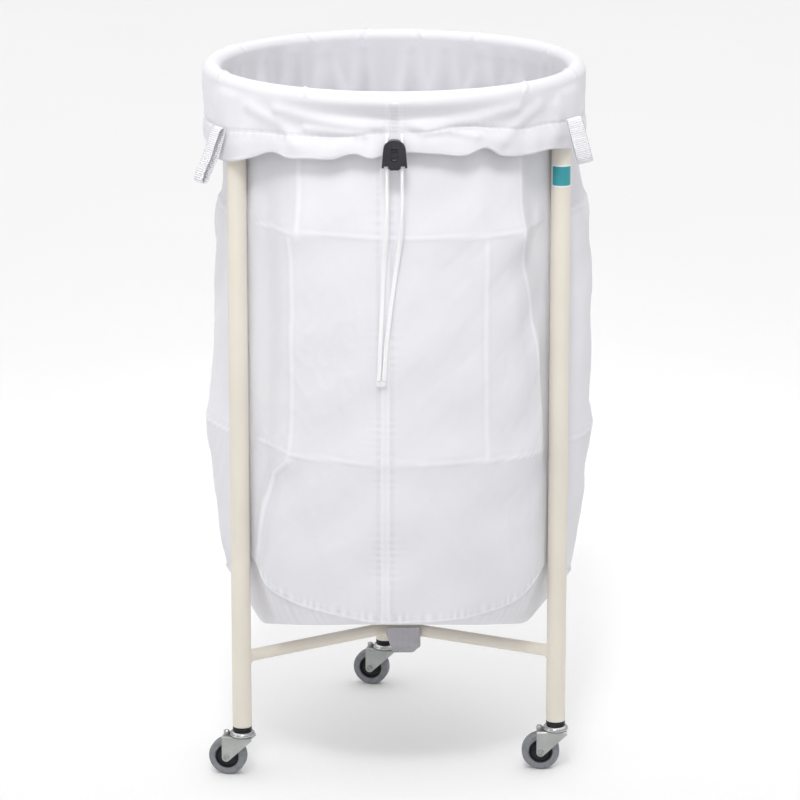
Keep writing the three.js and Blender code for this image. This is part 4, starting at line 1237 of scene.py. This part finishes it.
def strap_loop(name, line, node, place):
    """A ribbed strap along a closed centre line drawn as [out, up]."""
    line = np.array([(x, 0, z) for x, z in line + line[:1]], float)
    path, length = smooth_path(line, 361)
    path = path[:-1]
    along = tangents(path, closed=True)
    side = np.broadcast_to([0.0, 1.0, 0.0], path.shape)
    out = unit(np.cross(side, along))
    spots = np.linspace(-1, 1, 15)
    run = np.arange(len(path)) * length / len(path)
    rib = np.abs(np.sin(run * math.pi / 2.7))[:, None]
    selvedge = 1 - 0.35 * np.exp(-((np.abs(spots) - 0.86) * 14) ** 2)
    face = 0.8 * np.sqrt(np.clip(1 - spots ** 8, 0, 1)) * (0.35 + 0.75 * rib) * selvedge
    width = 10 * (1 - 0.012 * rib)
    upper = np.stack([spots * width, face, 0 * face], -1)
    lower = np.stack([spots[1:-1] * width, -face[:, 1:-1], 0 * face[:, 1:-1]], -1)[:, ::-1]
    verts, faces = sweep(path, side, out, np.concatenate([upper, lower], 1), closed=True)
    strap = make_piece(name, place(verts), faces, "trolley", WEBBING, [node])
    # Painted shade between the ribs and along the selvedges, painted highlight on the ribs.
    rib_shading = (rib * 2 - 1.1) * selvedge + 0 * spots
    mark_relief(strap, np.concatenate([rib_shading, rib_shading[:, 1:-1][:, ::-1]], 1))


def make_loops():
    def left_place(verts):
        return turn_z(verts, LEFT_LOOP_FACES) + polar(*LEFT_LOOP_AT)

    strap_loop("loop_left", LEFT_LOOP, "side_loop_left", left_place)

    def right_place(verts):
        x, y, z = turn_z(verts, RIGHT_LOOP_FACES).T
        c, s = cosd(RIGHT_LOOP_TILT), sind(RIGHT_LOOP_TILT)
        return np.stack([x * c + z * s, y, -x * s + z * c], -1) + RIGHT_LOOP_AT

    strap_loop("loop_right", RIGHT_LOOP, "side_loop_right", right_place)


def make_tab():
    """Folded webbing handle sewn under the base."""
    left, right, top, bottom, front = -13.5, 33.4, 171.2, 135.7, -32.6
    columns, rows = 33, 27
    u, v = np.meshgrid(np.linspace(0, 1, columns), np.linspace(0, 1, rows))
    low_left, low_right = left + 8 * smooth(v, 0, 1), right - 7 * smooth(v, 0.72, 1)
    x = mix(low_left, low_right, u)
    corner = np.clip(u - 0.86, 0, 1) * np.clip(v - 0.8, 0, 1) * 60
    z = mix(top, bottom, v) + corner * 1.2
    bow = 0.5 * np.sin(u * 3.0 + 0.6) * v + 0.25 * np.sin(v * 9)
    weave = 0.14 * np.sin(x * 2 * math.pi / 2.2) * np.sin(z * 2 * math.pi / 2.2)
    rim = np.minimum.reduce([u * (columns - 1), (1 - u) * (columns - 1), (1 - v) * (rows - 1)])
    thick = 1.25 * np.sqrt(np.clip(rim / 2.0, 0.08, 1)) + weave
    verts, faces = slab(
        np.stack([x, front + bow + thick, z], -1), np.stack([x, front + bow - thick, z], -1),
    )
    # Grey webbing: painted shade under the base.
    make_piece(
        "handle_tab", verts, faces, "trolley", SHADED_TAB_WEBBING, ["base_handle_tab"],
    )


def label_patch(name, half_angle, low, high, corner, inner, outer, material, replaces=()):
    """A film with rounded corners wrapped on the right leg."""
    columns, rows = 41, 25
    centre = polar(LEGS["right"], LEG_CIRCLE, 0)
    per_degree = LABEL_RADIUS * math.pi / 180
    half_width, half_height = half_angle * per_degree, (high - low) / 2
    u, v = np.meshgrid(np.linspace(-1, 1, columns), np.linspace(-1, 1, rows))
    x, z = u * half_width, v * half_height
    over = np.clip(np.abs(z) - (half_height - corner), 0, None)
    squeeze = (half_width - corner + np.sqrt(np.clip(corner ** 2 - over ** 2, 0, None))) / half_width
    angle = LABEL_DIRECTION + x * squeeze / per_degree
    middle = (low + high) / 2
    face, back = polar(angle, outer, z + middle), polar(angle, inner, z + middle)
    verts, faces = slab(face + centre, back + centre)
    label = make_piece(name, verts, faces, "trolley", material, replaces)
    shade_by_angle(label, 40)


def make_label():
    label_patch("label_border", 70, 790.5, 819, 2.5, 12.75, 13.0, LABEL_WHITE, ["leg_label"])
    label_patch("label_face", 61, 792.3, 817.2, 1.6, 13.02, 13.14, LABEL_TEAL)


def finish_cad_nodes():
    """Materials for the CAD nodes that stay, and softened edges on those that show."""
    finishes = {
        "hoop": (PAINT, 0), "cord_lock_body": (LOCK, 0.55), "cord_lock_roller": (LOCK, 0.3),
    }
    for side in LEGS:
        finishes[f"castor_stem_{side}"] = (ZINC, 0)
        finishes[f"castor_ball_ring_{side}"] = (CHROME, 0)
        finishes[f"castor_fork_{side}"] = (ZINC, 0.45)
    for node, (material, soften) in finishes.items():
        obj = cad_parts[node]
        obj.data.materials.clear()
        obj.data.materials.append(material)
        for slot in obj.material_slots:
            slot.material = material
        shade_by_angle(obj, 32)
        if soften:
            bevel = obj.modifiers.new("edges", "BEVEL")
            bevel.width = soften * MM
            bevel.segments = 3
            bevel.limit_method = "ANGLE"
            bevel.angle_limit = math.radians(32)


make_camera()
make_cords()
make_studio()
make_frame()
make_castors()
make_bag()
make_stitching()
make_hidden_cord()
make_loops()
make_tab()
make_label()
finish_cad_nodes()
